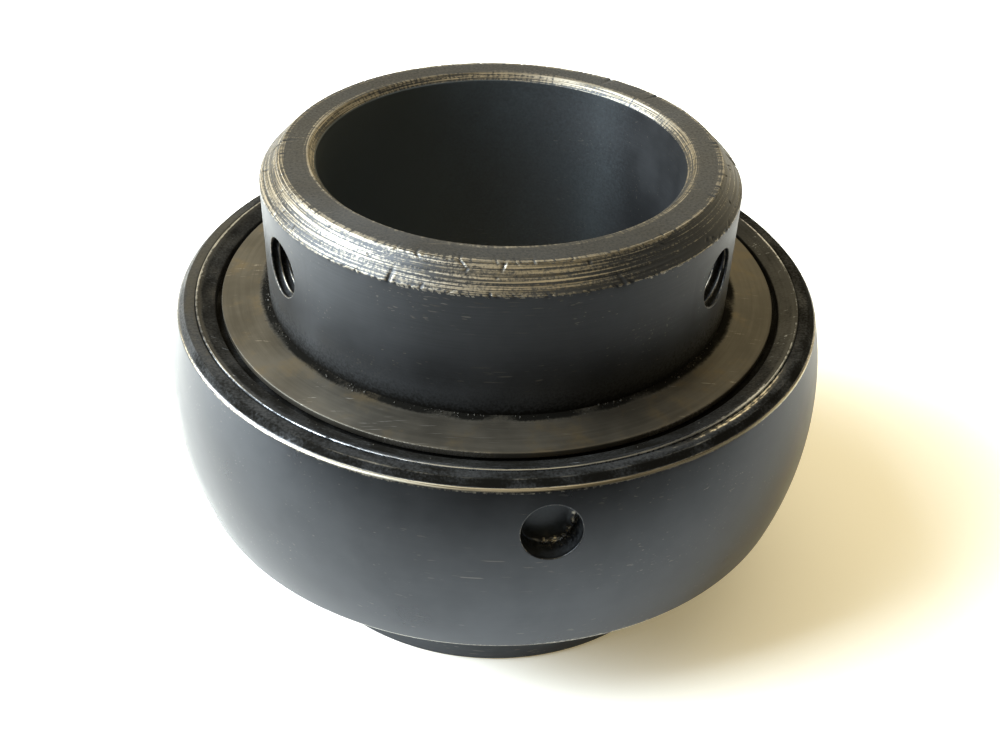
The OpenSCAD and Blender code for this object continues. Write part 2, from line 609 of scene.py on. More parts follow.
class Nodes:
    """A node tree, with short calls for the nodes that the finishes and the room use."""

    def __init__(self, tree: bpy.types.NodeTree) -> None:
        """Empties a node tree and keeps it."""
        tree.nodes.clear()
        self.tree = tree

    def parts(self, vector: Socket) -> Sequence[Socket]:
        """Returns the x, y and z of a vector.

        Args:
            vector: the vector.

        Returns:
            Its three parts.
        """
        node = self.tree.nodes.new("ShaderNodeSeparateXYZ")
        self.put(node.inputs[0], vector)
        return node.outputs

    def put(self, target: Socket, value: Socket | float | Sequence[float]) -> None:
        """Links a socket to a target, or sets the target to a constant.

        Args:
            target: a node's input.
            value: another node's output, or a constant.
        """
        if isinstance(value, bpy.types.NodeSocket):
            self.tree.links.new(value, target)
        else:
            target.default_value = value

    def math(self, kind: str, *values: Socket | float) -> Socket:
        """Returns the result of a Math node of that kind on the given values.

        Args:
            kind: the node's operation.
            values: sockets or constants, in the node's order.

        Returns:
            The node's result.
        """
        node = self.tree.nodes.new("ShaderNodeMath")
        node.operation = kind
        for target, value in zip(node.inputs, values):
            self.put(target, value)
        return node.outputs[0]

    def off_centre(self, noise: Socket, gain: float) -> Socket:
        """Returns a noise less its mean of one half, times gain."""
        return self.math("MULTIPLY_ADD", noise, gain, -gain / 2)

    def step(self, value: Socket, low: float, high: float) -> Socket:
        """Returns 0 where value is below low, 1 above high, and smooth between.

        Args:
            value: what to test.
            low, high: ends of the step; low may be the larger one.

        Returns:
            The share, from 0 to 1.
        """
        node = self.tree.nodes.new("ShaderNodeMapRange")
        node.interpolation_type = "SMOOTHSTEP"
        self.put(node.inputs["Value"], value)
        node.inputs["From Min"].default_value = low
        node.inputs["From Max"].default_value = high
        return node.outputs["Result"]

    def between(self, share: Socket, low: Socket | float, high: Socket | float) -> Socket:
        """Returns low where share is 0 and high where it is 1.

        Args:
            share: from 0 to 1.
            low, high: the two values.

        Returns:
            The value between them.
        """
        node = self.tree.nodes.new("ShaderNodeMix")
        self.put(node.inputs[0], share)
        self.put(node.inputs[2], low)
        self.put(node.inputs[3], high)
        return node.outputs[0]

    def blend(self, share: Socket | float, first: object, second: object) -> Socket:
        """Returns a colour that goes from first to second as share goes from 0 to 1.

        Args:
            share: from 0 to 1.
            first, second: the two colours.

        Returns:
            The colour between them.
        """
        node = self.tree.nodes.new("ShaderNodeMix")
        node.data_type = "RGBA"
        self.put(node.inputs[0], share)
        self.put(node.inputs[6], first)
        self.put(node.inputs[7], second)
        return node.outputs[2]

    def attribute(self, name: str) -> Socket:
        """Returns the piece's own attribute of that name.

        Args:
            name: the attribute's name.

        Returns:
            Its value.
        """
        node = self.tree.nodes.new("ShaderNodeAttribute")
        node.attribute_name = name
        return node.outputs["Fac"]

    def place(self) -> Socket:
        """Returns Object coordinates, in metres."""
        return self.tree.nodes.new("ShaderNodeTexCoord").outputs["Object"]

    def noise(
        self, vector: Socket, scale: float, detail: float = 2.0, rough: float = 0.5
    ) -> Socket:
        """Returns a noise texture's value, about 0.5 with a spread of about 0.15.

        Args:
            vector: where to read it.
            scale: cells for each unit of the vector.
            detail: number of finer octaves.
            rough: how strong the finer octaves are.

        Returns:
            The value.
        """
        node = self.tree.nodes.new("ShaderNodeTexNoise")
        self.put(node.inputs["Vector"], vector)
        node.inputs["Scale"].default_value = scale
        node.inputs["Detail"].default_value = detail
        node.inputs["Roughness"].default_value = rough
        return node.outputs["Fac"]

    def turned(self, along: Socket, round_scale: float, along_scale: float) -> Socket:
        """Returns coordinates in which a noise is drawn out round the shaft.

        The vector is (x / r, y / r) times round_scale, and along times
        along_scale, so a pattern closes on itself after a full turn.

        Args:
            along: distance along the section, in millimetres.
            round_scale: cells of noise per radian.
            along_scale: cells of noise per millimetre along the section.

        Returns:
            The coordinates.
        """
        x, y, _ = self.parts(self.place())
        square = self.math("ADD", self.math("MULTIPLY", x, x), self.math("MULTIPLY", y, y))
        scale = self.math("DIVIDE", round_scale, self.math("SQRT", square))
        join = self.tree.nodes.new("ShaderNodeCombineXYZ")
        self.put(join.inputs[0], self.math("MULTIPLY", x, scale))
        self.put(join.inputs[1], self.math("MULTIPLY", y, scale))
        self.put(join.inputs[2], self.math("MULTIPLY", along, along_scale))
        return join.outputs[0]


class Graph(Nodes):
    """A material's node tree, which ends in a Principled shader."""

    def __init__(self, name: str) -> None:
        """Makes an empty material with a Principled shader.

        Args:
            name: the material's name.
        """
        self.material = bpy.data.materials.new(name)
        self.material.use_nodes = True
        super().__init__(self.material.node_tree)
        self.shader = self.tree.nodes.new("ShaderNodeBsdfPrincipled")
        output = self.tree.nodes.new("ShaderNodeOutputMaterial")
        self.put(output.inputs[0], self.shader.outputs[0])

    def bump(self, height: Socket, distance: float, strength: float = 1.0) -> None:
        """Feeds a height to the shader's normal.

        Args:
            height: the relief, from 0 to 1.
            distance: how many metres one unit of height stands for.
            strength: the bump's strength.
        """
        node = self.tree.nodes.new("ShaderNodeBump")
        node.inputs["Strength"].default_value = strength
        node.inputs["Distance"].default_value = distance
        self.put(node.inputs["Height"], height)
        self.put(self.shader.inputs["Normal"], node.outputs[0])


def grey(value: float, warmth: float = 0.0) -> tuple[float, float, float, float]:
    """Returns a colour near grey: warmth lifts red and lowers blue by that share."""
    return (value * (1 + warmth), value * (1 + warmth * 0.3), value * (1 - warmth), 1.0)


@dataclass(frozen=True)
class BlackenedSteel:
    """Black oxide on turned steel, rubbed bare where the piece's wear says so.

    Attributes:
        name: the material's name.
        oxide: reflectance of the black oxide.
        oxide_warmth: how warm the oxide is.
        bare: reflectance of the bare steel.
        bare_warmth: how warm the bare steel is.
        gloss: roughness of the oxide.
        bare_gloss: roughness of the bare steel.
        brushed: how far the turning lines draw highlights out across them.
        line_pitch: cells of the finest turning lines per millimetre.
        line_depth: depth of the turning lines, in metres.
        ragged: how strongly the turning lines break up the bare areas.
        stain: how strongly brownish stains tint the oxide.
        cloudy: how far the oxide's tone drifts either way.
        streaky: how much of that drift follows the turning lines.
        metal: how far the oxide mirrors like a metal; the rest scatters.
        scratched: how bare the short scratches and specks are.
    """

    name: str
    oxide: float = 0.09
    oxide_warmth: float = -0.07
    bare: float = 0.4
    bare_warmth: float = 0.06
    gloss: float = 0.38
    bare_gloss: float = 0.4
    brushed: float = 0.5
    line_pitch: float = 8.0
    line_depth: float = 3e-6
    ragged: float = 1.0
    stain: float = 0.0
    cloudy: float = 0.16
    streaky: float = 0.3
    metal: float = 0.74
    scratched: float = 0.6

    def build(self) -> bpy.types.Material:
        """Makes the material.

        Turning lines are noises drawn out round the shaft. The share of bare
        steel is a wide smooth step of wear plus those lines plus a fine grain.
        Colour and roughness go from oxide to steel by that share. They then go, by the piece's
        layer of dirt and painted light, to a dark dull film above 0, which is real dirt in some
        places and painted shade in others, and to a pale painted light below 0.

        Returns:
            The finished material.
        """
        g = Graph(self.name)
        run, wear, place = g.attribute("run"), g.attribute("wear"), g.place()
        fine = g.noise(g.turned(run, 2.2, self.line_pitch), 1.0, 3.0, 0.65)
        broad = g.noise(g.turned(run, 0.9, self.line_pitch * 0.42), 1.0, 2.0, 0.6)
        mottle = g.noise(place, 3000.0, 3.0, 0.65)
        cloud = g.noise(place, 110.0, 3.0, 0.6)
        drift = g.math("ADD", g.off_centre(fine, 1.7), g.off_centre(broad, 1.4))
        drift = g.math("ADD", drift, g.off_centre(mottle, 1.5))
        gate = g.step(wear, 0.01, 0.3)
        level = g.math("MULTIPLY_ADD", g.math("MULTIPLY", drift, self.ragged), gate, wear)
        bare = g.step(level, 0.3, 0.8)
        marks = g.math("MULTIPLY", self.marks(g, place), self.scratched)
        bare = g.math("MAXIMUM", bare, marks)
        tone = g.between(self.streaky, cloud, fine)
        oxide = g.blend(
            g.step(tone, 0.32, 0.68),
            grey(self.oxide * (1 - self.cloudy), self.oxide_warmth),
            grey(self.oxide * (1 + self.cloudy), self.oxide_warmth),
        )
        if self.stain > 0:
            patch = g.step(g.noise(place, 210.0, 4.0, 0.62), 0.5, 0.72)
            oxide = g.blend(g.math("MULTIPLY", patch, self.stain), oxide, BROWN_STAIN)
        steel = g.blend(
            g.step(fine, 0.38, 0.62),
            grey(self.bare * 0.3, self.bare_warmth * 1.6),
            grey(self.bare * 1.3, self.bare_warmth),
        )
        # Above 0 a dark dull film, which is real dirt in some places and painted shade in others;
        # below 0 painted light in a pale tone.
        dirt = g.attribute("dirt")
        film_and_painted_shade = g.step(g.math("ADD", dirt, g.off_centre(mottle, 0.6)), 0.2, 0.8)
        worn = g.math("ADD", g.off_centre(cloud, 0.6), g.off_centre(mottle, 0.7))
        pale_painted_light = g.step(g.math("ADD", dirt, worn), -0.16, -1.1)
        colour = g.blend(pale_painted_light, g.blend(bare, oxide, steel), PALE_PAINTED_LIGHT_TONE)
        g.put(g.shader.inputs["Base Color"], g.blend(film_and_painted_shade, colour, DARK_FILM_AND_PAINTED_SHADE))
        metal = g.between(pale_painted_light, g.between(bare, self.metal, 1.0), 0.0)
        g.put(g.shader.inputs["Metallic"], g.between(film_and_painted_shade, metal, 0.0))
        dull = g.between(g.step(cloud, 0.3, 0.7), self.gloss * 0.88, self.gloss * 1.12)
        rub = g.between(g.step(fine, 0.3, 0.7), self.bare_gloss * 1.15, self.bare_gloss * 0.8)
        rough = g.between(bare, dull, rub)
        g.put(g.shader.inputs["Roughness"], g.between(film_and_painted_shade, rough, 0.9))
        g.put(g.shader.inputs["Specular IOR Level"], g.between(film_and_painted_shade, 0.3, 0.1))
        g.shader.inputs["Anisotropic"].default_value = self.brushed
        g.shader.inputs["Anisotropic Rotation"].default_value = 0.25
        tangent = g.tree.nodes.new("ShaderNodeTangent")
        tangent.direction_type, tangent.axis = "RADIAL", "Z"
        g.put(g.shader.inputs["Tangent"], tangent.outputs[0])
        lines = g.math("MULTIPLY_ADD", bare, g.math("MULTIPLY", fine, 3.0), fine)
        height = g.math("ADD", lines, g.math("MULTIPLY", mottle, 0.25))
        g.bump(height, self.line_depth)
        return g.material

    @staticmethod
    def marks(g: Graph, place: Socket) -> Socket:
        """Returns short scratches and specks, from 0 to 1.

        A scratch is the crest of a noise drawn out one way; three such noises lie
        in different directions, each shown only where a slow noise is high. A
        speck is the crest of a fine noise.

        Args:
            g: the material's graph.
            place: the point's coordinates.

        Returns:
            How bare each place is scratched.
        """
        crest = g.step(g.noise(place, 2500.0, 0.0), 0.84, 0.89)
        total = g.math("MULTIPLY", crest, g.step(g.noise(place, 120.0, 1.0), 0.54, 0.68))
        for i, turn in enumerate(((0.2, 0.5, 0.3), (1.1, 0.1, 1.5), (0.7, 1.3, 2.4))):
            lay = g.tree.nodes.new("ShaderNodeMapping")
            g.put(lay.inputs["Vector"], place)
            lay.inputs["Location"].default_value = (i * 0.7, i * 1.3, 0.4)
            lay.inputs["Rotation"].default_value = turn
            lay.inputs["Scale"].default_value = (0.07, 1.0, 1.0)
            line = g.step(g.noise(lay.outputs[0], 4200.0, 0.0), 0.74, 0.81)
            shown = g.step(g.noise(lay.outputs[0], 230.0, 1.0), 0.55, 0.66)
            total = g.math("MAXIMUM", total, g.math("MULTIPLY", line, shown))
        return total


@dataclass(frozen=True)
class PlainMetal:
    """A plain metal with cloudy tone and fine grain, for pieces inside the rings.

    Attributes:
        name: the material's name.
        tone: reflectance.
        warmth: how warm the metal is.
        gloss: roughness.
        grain: scale of the fine grain, in cells per metre.
        depth: depth of the grain, in metres.
    """

    name: str
    tone: float
    warmth: float = 0.02
    gloss: float = 0.3
    grain: float = 2400.0
    depth: float = 1e-6

    def build(self) -> bpy.types.Material:
        """Makes the material: a cloud sets tone and roughness, a grain the bump.

        Returns:
            The finished material.
        """
        g = Graph(self.name)
        place = g.place()
        cloud = g.step(g.noise(place, 140.0, 3.0, 0.6), 0.3, 0.7)
        grain = g.noise(place, self.grain, 3.0, 0.6)
        dark, light = grey(self.tone * 0.85, self.warmth), grey(self.tone * 1.1, self.warmth)
        g.put(g.shader.inputs["Base Color"], g.blend(cloud, dark, light))
        g.shader.inputs["Metallic"].default_value = 1.0
        g.put(g.shader.inputs["Roughness"], g.between(cloud, self.gloss * 0.8, self.gloss * 1.2))
        g.bump(grain, self.depth)
        return g.material


@dataclass(frozen=True)
class Rubber:
    """Black seal rubber: matte, with a fine skin and a dusty cloud.

    Attributes:
        name: the material's name.
        tone: reflectance.
    """

    name: str
    tone: float = 0.02

    def build(self) -> bpy.types.Material:
        """Makes the material: a cloud lightens the black, a fine grain roughens it.

        Returns:
            The finished material.
        """
        g = Graph(self.name)
        place = g.place()
        cloud = g.step(g.noise(place, 220.0, 3.0, 0.6), 0.35, 0.75)
        g.put(g.shader.inputs["Base Color"], g.blend(cloud, grey(self.tone), grey(self.tone * 2.2)))
        g.put(g.shader.inputs["Roughness"], g.between(cloud, 0.55, 0.75))
        g.bump(g.noise(place, 5200.0, 2.0, 0.5), 6e-6)
        return g.material


# ---------------------------------------------------------------- sub-assemblies


@dataclass
class OuterRing:
    """The ring with the ball-shaped seat, its faces, shelves, groove and dimple.

    Attributes:
        seat_r: radius of the ball-shaped seat.
        face_z: height of the flat faces above the centre plane.
        dimple_r: radius of the locating dimple.
        dimple_axis: unit axis out of the dimple.
        face_r: radius where the faces' chamfer begins.
        mouth_r: radius of the counterbore for the seal carrier.
        cup_r: radius of the lower shelf's wall.
        land_r: bore beside the ball groove.
        groove_r, groove_centre: the ball groove's circle.
        shelf_z, cup_z, rim_z: heights of the shelf and of the carrier's cone.
        dimple_depth: depth of the dimple below the seat.
        columns: number of bearings round the ring.
    """

    seat_r: float
    face_z: float
    dimple_r: float
    dimple_axis: Array
    face_r: float = 39.9
    mouth_r: float = 38.5
    cup_r: float = 36.85
    land_r: float = 35.8
    groove_r: float = 6.604
    groove_centre: float = 32.296
    shelf_z: float = 10.2
    cup_z: float = 11.25
    rim_z: float = 12.05
    dimple_depth: float = 3.4
    columns: int = 720
    finish: BlackenedSteel = field(
        default_factory=lambda: BlackenedSteel(
            "blackened_seat", oxide=0.105, oxide_warmth=-0.08, gloss=0.31, line_pitch=4.0,
            line_depth=1e-6, metal=0.97, ragged=0.7, streaky=0.08, cloudy=0.1, scratched=0.1,
            brushed=0.15, bare=0.8, bare_warmth=0.12,
        )
    )

    def upper_corners(self) -> list[Corner]:
        """Returns the section's corners from the groove up to the seat's edge.

        Returns:
            The corners, in order.
        """
        return [
            Corner(self.land_r, self.shelf_z),
            Corner(self.cup_r, self.shelf_z),
            Corner(self.cup_r, self.cup_z),
            Corner(self.mouth_r, self.rim_z, cells=2),
            Corner(self.mouth_r, self.face_z, fillet=0.28, cells=4),
            Corner(self.face_r, self.face_z, fillet=0.12, cells=12),
        ]

    def section(self) -> Array:
        """Returns the closed section: groove, upper steps, seat, lower steps.

        Returns:
            Pairs of radius and height.
        """
        edge = self.face_z - self.chamfer_leg()
        lift = math.degrees(math.asin(edge / self.seat_r))
        open_angle = math.degrees(math.acos((self.land_r - self.groove_centre) / self.groove_r))
        groove = arc_corners((self.groove_centre, 0), self.groove_r, -open_angle, open_angle, 12)
        upper = self.upper_corners()
        seat = arc_corners((0, 0), self.seat_r, lift, -lift, 40)
        seat[0] = Corner(seat[0].r, seat[0].z, fillet=0.42)
        seat[-1] = Corner(seat[-1].r, seat[-1].z, fillet=0.42, cells=6)
        lower = [Corner(c.r, -c.z, c.fillet, d.cells) for c, d in
                 zip(upper[::-1], upper[-2::-1] + [upper[0]])]
        lower[0] = Corner(lower[0].r, lower[0].z, lower[0].fillet, 4)
        return trace(groove + upper + seat + lower)

    def wear(self, section: Array, bearings: Array) -> Array:
        """Returns how bare the ring is rubbed.

        Wear is a bell across the seat's chamfer, plus thin bells at the two edges of the chamfer.
        It is real handling wear, made strongest at the front as a painted highlight on the crest.

        Args:
            section: radius and height of each row.
            bearings: bearing of each column.

        Returns:
            A value from 0 to 1 for each row and column.
        """
        across = self.across_chamfer(section)
        rng = np.random.default_rng(SEED)
        patchy = ripples(bearings[None, :], section[:, :1], rng, (2, 7), (3, 9), count=12)
        # Partly painted highlight: the real wear is raised at the front, so the bare crest shows a
        # bright line there.
        side = by_bearing(bearings, [
            (-180, 0.32), (-120, 0.34), (-80, 0.42), (-40, 0.54), (-15, 1.15), (14, 1.4),
            (26, 1.3), (40, 0.9), (75, 0.44), (110, 0.32), (150, 0.3),
        ])
        crumbly = ripples(bearings[None, :], across * 4, rng, (60, 320), (0.5, 3), count=40)
        edge = 1.5 * bump_at(across, 0.88, 0.15) * side
        fade = 0.08 * smooth_step(0.3, 0.9, across) * smooth_step(1.08, 0.98, across) * side
        lip = 0.46 * bump_at(across, 0.0, 0.06) * side
        worn = (edge + fade + lip) * (1 + 0.08 * patchy + 0.1 * crumbly)
        rubbed = self.rubbed(section, bearings) * (0.75 + 0.3 * crumbly)
        return np.clip(np.maximum(worn, rubbed), 0, 1)

    def rubbed(self, section: Array, bearings: Array) -> Array:
        """Returns the bright patch that handling left on one side of the upper mouth.

        Args:
            section: radius and height of each row.
            bearings: bearing of each column.

        Returns:
            A value from 0 to 1 for each row and column.
        """
        patch = by_bearing(bearings, [
            (-180, 0), (22, 0), (33, 0.7), (38, 0.95), (50, 1), (56, 0.6), (64, 0), (180, 0),
        ])
        by_mouth = smooth_step(self.mouth_r + 1.0, self.mouth_r + 0.3, section[:, :1])
        return patch * by_mouth * (section[:, 1:] > self.rim_z + 0.2)

    def dirt(self, section: Array, bearings: Array) -> Array:
        """Returns the dull film: on the flat faces, the mouths and the chamfers. It is thinner on
        the left, as a painted lighter side where the window light falls.

        The film thins out towards the chamfer's lower edge, and it is none on the
        seat.

        Args:
            section: radius and height of each row.
            bearings: bearing of each column.

        Returns:
            A value from 0 to 1 for each row and column.
        """
        across = self.across_chamfer(section)
        rng = np.random.default_rng(SEED + 4)
        uneven = ripples(bearings[None, :], section[:, :1], rng, (3, 50), (1.5, 8))
        # Painted light: less film on the left, so the faces and chamfers read lighter where the
        # window light falls.
        side = by_bearing(bearings, [
            (-180, 1), (-125, 0.85), (-100, 0.5), (-78, 0.55), (-50, 0.9), (0, 1), (180, 1),
        ])
        film_and_painted_shade = (0.74 + 0.06 * uneven) * smooth_step(0.84, 0.6, across) * side
        film_and_painted_shade = film_and_painted_shade * (1 - 0.15 * smooth_step(0.02, -0.1, across))
        return np.clip(film_and_painted_shade * (1 - self.rubbed(section, bearings)), 0, 1)

    def across_chamfer(self, section: Array) -> Array:
        """Returns 0 at the faces' chamfer's edge by the flat face and 1 by the seat."""
        r, z = section[:, :1], np.abs(section[:, 1:])
        return ((r - self.face_r) + (self.face_z - z)) / (2 * self.chamfer_leg())

    def chamfer_leg(self) -> float:
        """Returns the faces' chamfer's leg, from the flat face to the seat.

        The chamfer's lower corner lies on the seat with the same r + z as its
        upper corner, so its z is the smaller root of a quadratic.

        Returns:
            The leg in millimetres.
        """
        across = self.face_r + self.face_z
        low = (across - math.sqrt(2 * self.seat_r**2 - across**2)) / 2
        return self.face_z - low

    def build(self) -> bpy.types.Object:
        """Builds the ring and drills its dimple.

        Returns:
            The ring, which stands for the CAD node outer_ring.
        """
        section = self.section()
        start = math.atan2(self.dimple_axis[0], -self.dimple_axis[1])
        bearings = start + full_turn(self.columns)
        run = run_length(section)[:, None]
        grid = revolve(section, bearings)
        wear = self.wear(section, bearings)
        on_seat = np.flatnonzero(section[:, 0] > math.sqrt(self.seat_r**2 - self.face_z**2) + 0.3)
        flat = self.drill().flat(grid[on_seat, 0])
        span = self.dimple_r + 1.1
        rows = on_seat[np.abs(flat[:, 1]) < span]
        half = math.ceil(span / (self.seat_r * 2 * math.pi / self.columns))
        window = Window(int(rows.min()), int(rows.max()), -half, half)
        skin = Skin("outer_ring_body")
        keep = window.opens(*grid.shape[:2])
        skin.add(grid, wear, run, self.dirt(section, bearings), close_rows=True, keep=keep)
        self.sink_dimple(skin, window, grid, np.broadcast_to(run, wear.shape))
        made = skin.build(self.finish.build())
        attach(made, "outer")
        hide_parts("outer_ring")
        return made

    def drill(self) -> Drill:
        """Returns the dimple's axes; the seat's w is sqrt(R^2 - u^2 - v^2).

        Returns:
            The axes, with their origin at the centre of the seat.
        """
        return Drill(
            np.zeros(3), self.dimple_axis,
            lambda u, v: np.sqrt(self.seat_r**2 - u**2 - v**2),
        )

    def sink_dimple(self, skin: Skin, window: Window, grid: Array, run: Array) -> None:
        """Adds the dimple's collar, wall and floor to the skin.

        The wall is a cylinder, and the floor is a disc with a rounded corner and
        a slight cone.

        Args:
            skin: the surface to add to.
            window: the cells that the collar takes the place of.
            grid: the ring's points.
            run: distance along the section at each point.
        """
        drill = self.drill()
        edge, corner = 0.1, 0.35
        collar, angle = drill.collar(window.rim(grid), self.dimple_r, edge)
        floor = self.seat_r - self.dimple_depth
        top = drill.lift(self.dimple_r, 0.0) - edge
        depth = np.linspace(top, floor + corner, 8)[1:, None]
        turn = np.linspace(0, math.pi / 2, 5)[1:, None]
        reach = np.concatenate([
            np.full((7, 1), self.dimple_r),
            self.dimple_r - corner * (1 - np.cos(turn)),
            np.linspace(self.dimple_r - corner, 0.0, 9)[1:, None],
        ])
        w = np.concatenate([depth, floor + corner * (1 - np.sin(turn)), np.full((8, 1), floor)])
        rng = np.random.default_rng(SEED + 3)
        rough = ripples(angle[None, :], w * 2, rng, (3, 30), (0.5, 3))
        chips = np.abs(ripples(angle[None, :], w, rng, (9, 44), (0.4, 1.6), count=40))
        torn = by_bearing(angle, [(-170, 0), (-115, 0.35), (-80, 0.8), (-40, 1), (0, 0.7), (35, 0)])
        within = (reach < self.dimple_r) | (w < top - 0.2)
        deep = smooth_step(top, floor + 0.6, w) * smooth_step(0.72, 0.95, reach / self.dimple_r)
        inward = within * (0.012 * rough + 0.26 * chips * torn * deep)
        lift = 0.2 * chips * torn * deep * (reach < self.dimple_r)
        wall = drill.solid(
            (reach - inward) * np.cos(angle), (reach - inward) * np.sin(angle),
            w + lift + np.zeros_like(angle),
        )
        wall[-1] = wall[-1].mean(axis=0)
        rings = np.concatenate([collar, wall])
        middle = float(window.rim(run).mean())
        wear = np.zeros(rings.shape[:2])
        wear[COLLAR_CELLS + 1 : COLLAR_CELLS + MOUTH_CELLS] = 0.28
        raised = chips * torn * deep
        wear[len(collar) :] = np.clip((raised - 0.5) * 1.6, 0, 0.75)
        # Painted light: the pale tone on the dimple's wall and floor, kept off the chips, lifts
        # them out of their shade.
        dirt = np.zeros(rings.shape[:2])
        dirt[len(collar) :] = -0.42 * smooth_step(0.7, 0.35, raised)
        skin.add(rings, wear, middle + np.arange(len(rings))[:, None] * 0.3, dirt)


@dataclass
class InnerRing:
    """The wide ring that clamps the shaft, with its nose chamfer and tapped holes.

    Attributes:
        bore_r: radius of the shaft bore.
        inner_r: outside radius.
        nose_z, foot_z: heights of the long and of the short end.
        tap_r: minor radius of the tapped holes.
        tap_z: height of the tapped holes.
        tap_axes: unit axes out of the two tapped holes.
        nose_leg: leg of the chamfer outside the long end.
        mouth_leg: leg of the chamfers at both mouths of the bore.
        foot_leg: leg of the chamfer outside the short end.
        pitch: the thread's pitch.
        nicks: number of dents along the nose chamfer.
        groove_r, groove_centre: the ball groove's circle.
        land_z: height of the rows that both flingers sit at.
        columns: number of bearings round the ring.
        nose_columns: number of bearings round the worn long end.
        nose_margin: how far the finer columns reach past the chamfers.
        window_half: half the height of the window round a tapped hole.
        window_columns: half the columns of that window.
    """

    bore_r: float
    inner_r: float
    nose_z: float
    foot_z: float
    tap_r: float
    tap_z: float
    tap_axes: Sequence[Array]
    nose_leg: float = 2.57
    mouth_leg: float = 0.85
    foot_leg: float = 0.4
    pitch: float = 1.0
    nicks: int = 130
    groove_r: float = 6.604
    groove_centre: float = 32.704
    land_z: float = 12.0
    columns: int = 360
    nose_columns: int = 1080
    nose_margin: float = 0.4
    window_half: float = 5.0
    window_columns: int = 14
    finish: BlackenedSteel = field(
        default_factory=lambda: BlackenedSteel(
            "blackened_bore", oxide=0.095, gloss=0.4, bare=0.42, bare_warmth=0.12,
            bare_gloss=0.52, line_pitch=7.0, scratched=0.3,
        )
    )

    def section(self) -> Array:
        """Returns the closed section: up the bore, over the nose, down outside.

        Returns:
            Pairs of radius and height.
        """
        low, high = self.tap_z - self.window_half, self.tap_z + self.window_half
        open_angle = math.degrees(math.acos((self.groove_centre - self.inner_r) / self.groove_r))
        groove = arc_corners(
            (self.groove_centre, 0), self.groove_r, 180 - open_angle, 180 + open_angle, 10
        )
        corners = [
            Corner(self.bore_r, self.foot_z + self.mouth_leg, fillet=0.1, cells=5),
            Corner(self.bore_r, low, cells=12),
            Corner(self.bore_r, high),
            Corner(self.bore_r, self.nose_z - self.mouth_leg - self.nose_margin),
            Corner(self.bore_r, self.nose_z - self.mouth_leg, fillet=0.12, cells=5),
            Corner(self.bore_r + self.mouth_leg, self.nose_z, fillet=0.12, cells=4),
            Corner(self.inner_r - self.nose_leg, self.nose_z, fillet=0.12, cells=34),
            Corner(self.inner_r, self.nose_z - self.nose_leg, fillet=0.16),
            Corner(self.inner_r, self.nose_z - self.nose_leg - self.nose_margin),
            Corner(self.inner_r, high, cells=12),
            Corner(self.inner_r, low, cells=3),
            Corner(self.inner_r, self.land_z, cells=2),
            *groove,
            Corner(self.inner_r, -self.land_z, cells=2),
            Corner(self.inner_r, self.foot_z + self.foot_leg, fillet=0.12),
            Corner(self.inner_r - self.foot_leg, self.foot_z, fillet=0.1, cells=2),
            Corner(self.bore_r + self.mouth_leg, self.foot_z, fillet=0.1),
        ]
        return trace(corners, fillet_cells=3)

    def across_nose(self, section: Array) -> Array:
        """Returns 0 at the nose chamfer's upper edge and 1 at its lower edge."""
        r, z = section[:, :1], section[:, 1:]
        return ((r - (self.inner_r - self.nose_leg)) + (self.nose_z - z)) / (2 * self.nose_leg)

    def down_nose(self, section: Array) -> Array:
        """Returns the distance down the nose chamfer from its upper edge."""
        return self.across_nose(section) * 2 * self.nose_leg / math.sqrt(2)

    def wear(self, section: Array, bearings: Array) -> Array:
        """Returns how bare the ring is rubbed.

        The nose chamfer is worn all over. How much varies round the ring, as real wear and as a
        painted highlight that puts the bare steel where the window's highlight falls. Its two edges
        and the bore's mouth are worn in a thin uneven line.

        Args:
            section: radius and height of each row.
            bearings: bearing of each column.

        Returns:
            A value from 0 to 1 for each row and column.
        """
        r, z = section[:, :1], section[:, 1:]
        across = self.across_nose(section)
        rng = np.random.default_rng(SEED + 1)
        patchy = ripples(bearings[None, :], across * 8, rng, (4, 60), (1.5, 12))
        crumbly = ripples(bearings[None, :], across * 4, rng, (60, 340), (0.6, 3), count=40)
        bands = ripples(bearings[None, :], across * 3.6, rng, (0, 2), (1.1, 3.2), count=14)
        # Partly painted highlight: the real wear is strongest where the window's highlight falls on
        # the chamfer.
        side = by_bearing(bearings, [
            (-180, 0.36), (-140, 0.38), (-100, 0.36), (-78, 0.46), (-60, 0.6), (-42, 0.54),
            (-28, 0.44), (-8, 0.56), (8, 0.56), (18, 0.42), (28, 0.26), (45, 0.2), (80, 0.2),
            (110, 0.25), (150, 0.34),
        ])
        torn = 0.035 * ripples(bearings[None, :], across, rng, (60, 420), (2, 9), count=60)
        band = smooth_step(-0.02, 0.02, across - 0.4 * torn)
        band = band * smooth_step(1.0, 0.96, across - torn)
        band = band * (side + 0.05 * bands * smooth_step(0.3, 0.6, side))
        cuts, burrs = self.dents(section, bearings)
        band = band - 3.2 * cuts + 2.2 * burrs * smooth_step(0.3, 0.5, side)
        edges = bump_at(across, -0.01, 0.035) + 0.9 * bump_at(across, 1.0, 0.035)
        edges = edges * (0.62 + 0.14 * patchy + 0.26 * crumbly) * (0.88 + 0.3 * side)
        outside = r > self.bore_r + self.mouth_leg * 1.6
        mouth = (self.nose_z - z - (r - self.bore_r) + self.mouth_leg) / 2 / self.mouth_leg
        inside = (z > self.nose_z - 1.6 * self.mouth_leg) & ~outside
        mouth_wear = by_bearing(bearings, [
            (-180, 0.5), (-150, 0.55), (-120, 0.62), (-85, 0.62), (-60, 0.3), (-20, 0.2),
            (30, 0.2), (70, 0.4), (110, 0.6), (150, 0.75), (170, 0.6),
        ])
        rim = bump_at(mouth, 0.0, 0.12) * (0.5 + 0.05 * patchy + 0.12 * crumbly)
        face = smooth_step(-0.1, 0.1, mouth) * smooth_step(1.2, 0.8, mouth) * mouth_wear
        face = face * (1 + 0.06 * patchy + 0.16 * crumbly)
        above = z > self.inner_r / 2
        worn = np.where(outside, band + edges, inside * (rim + face))
        return np.clip(worn * above, 0, 1)

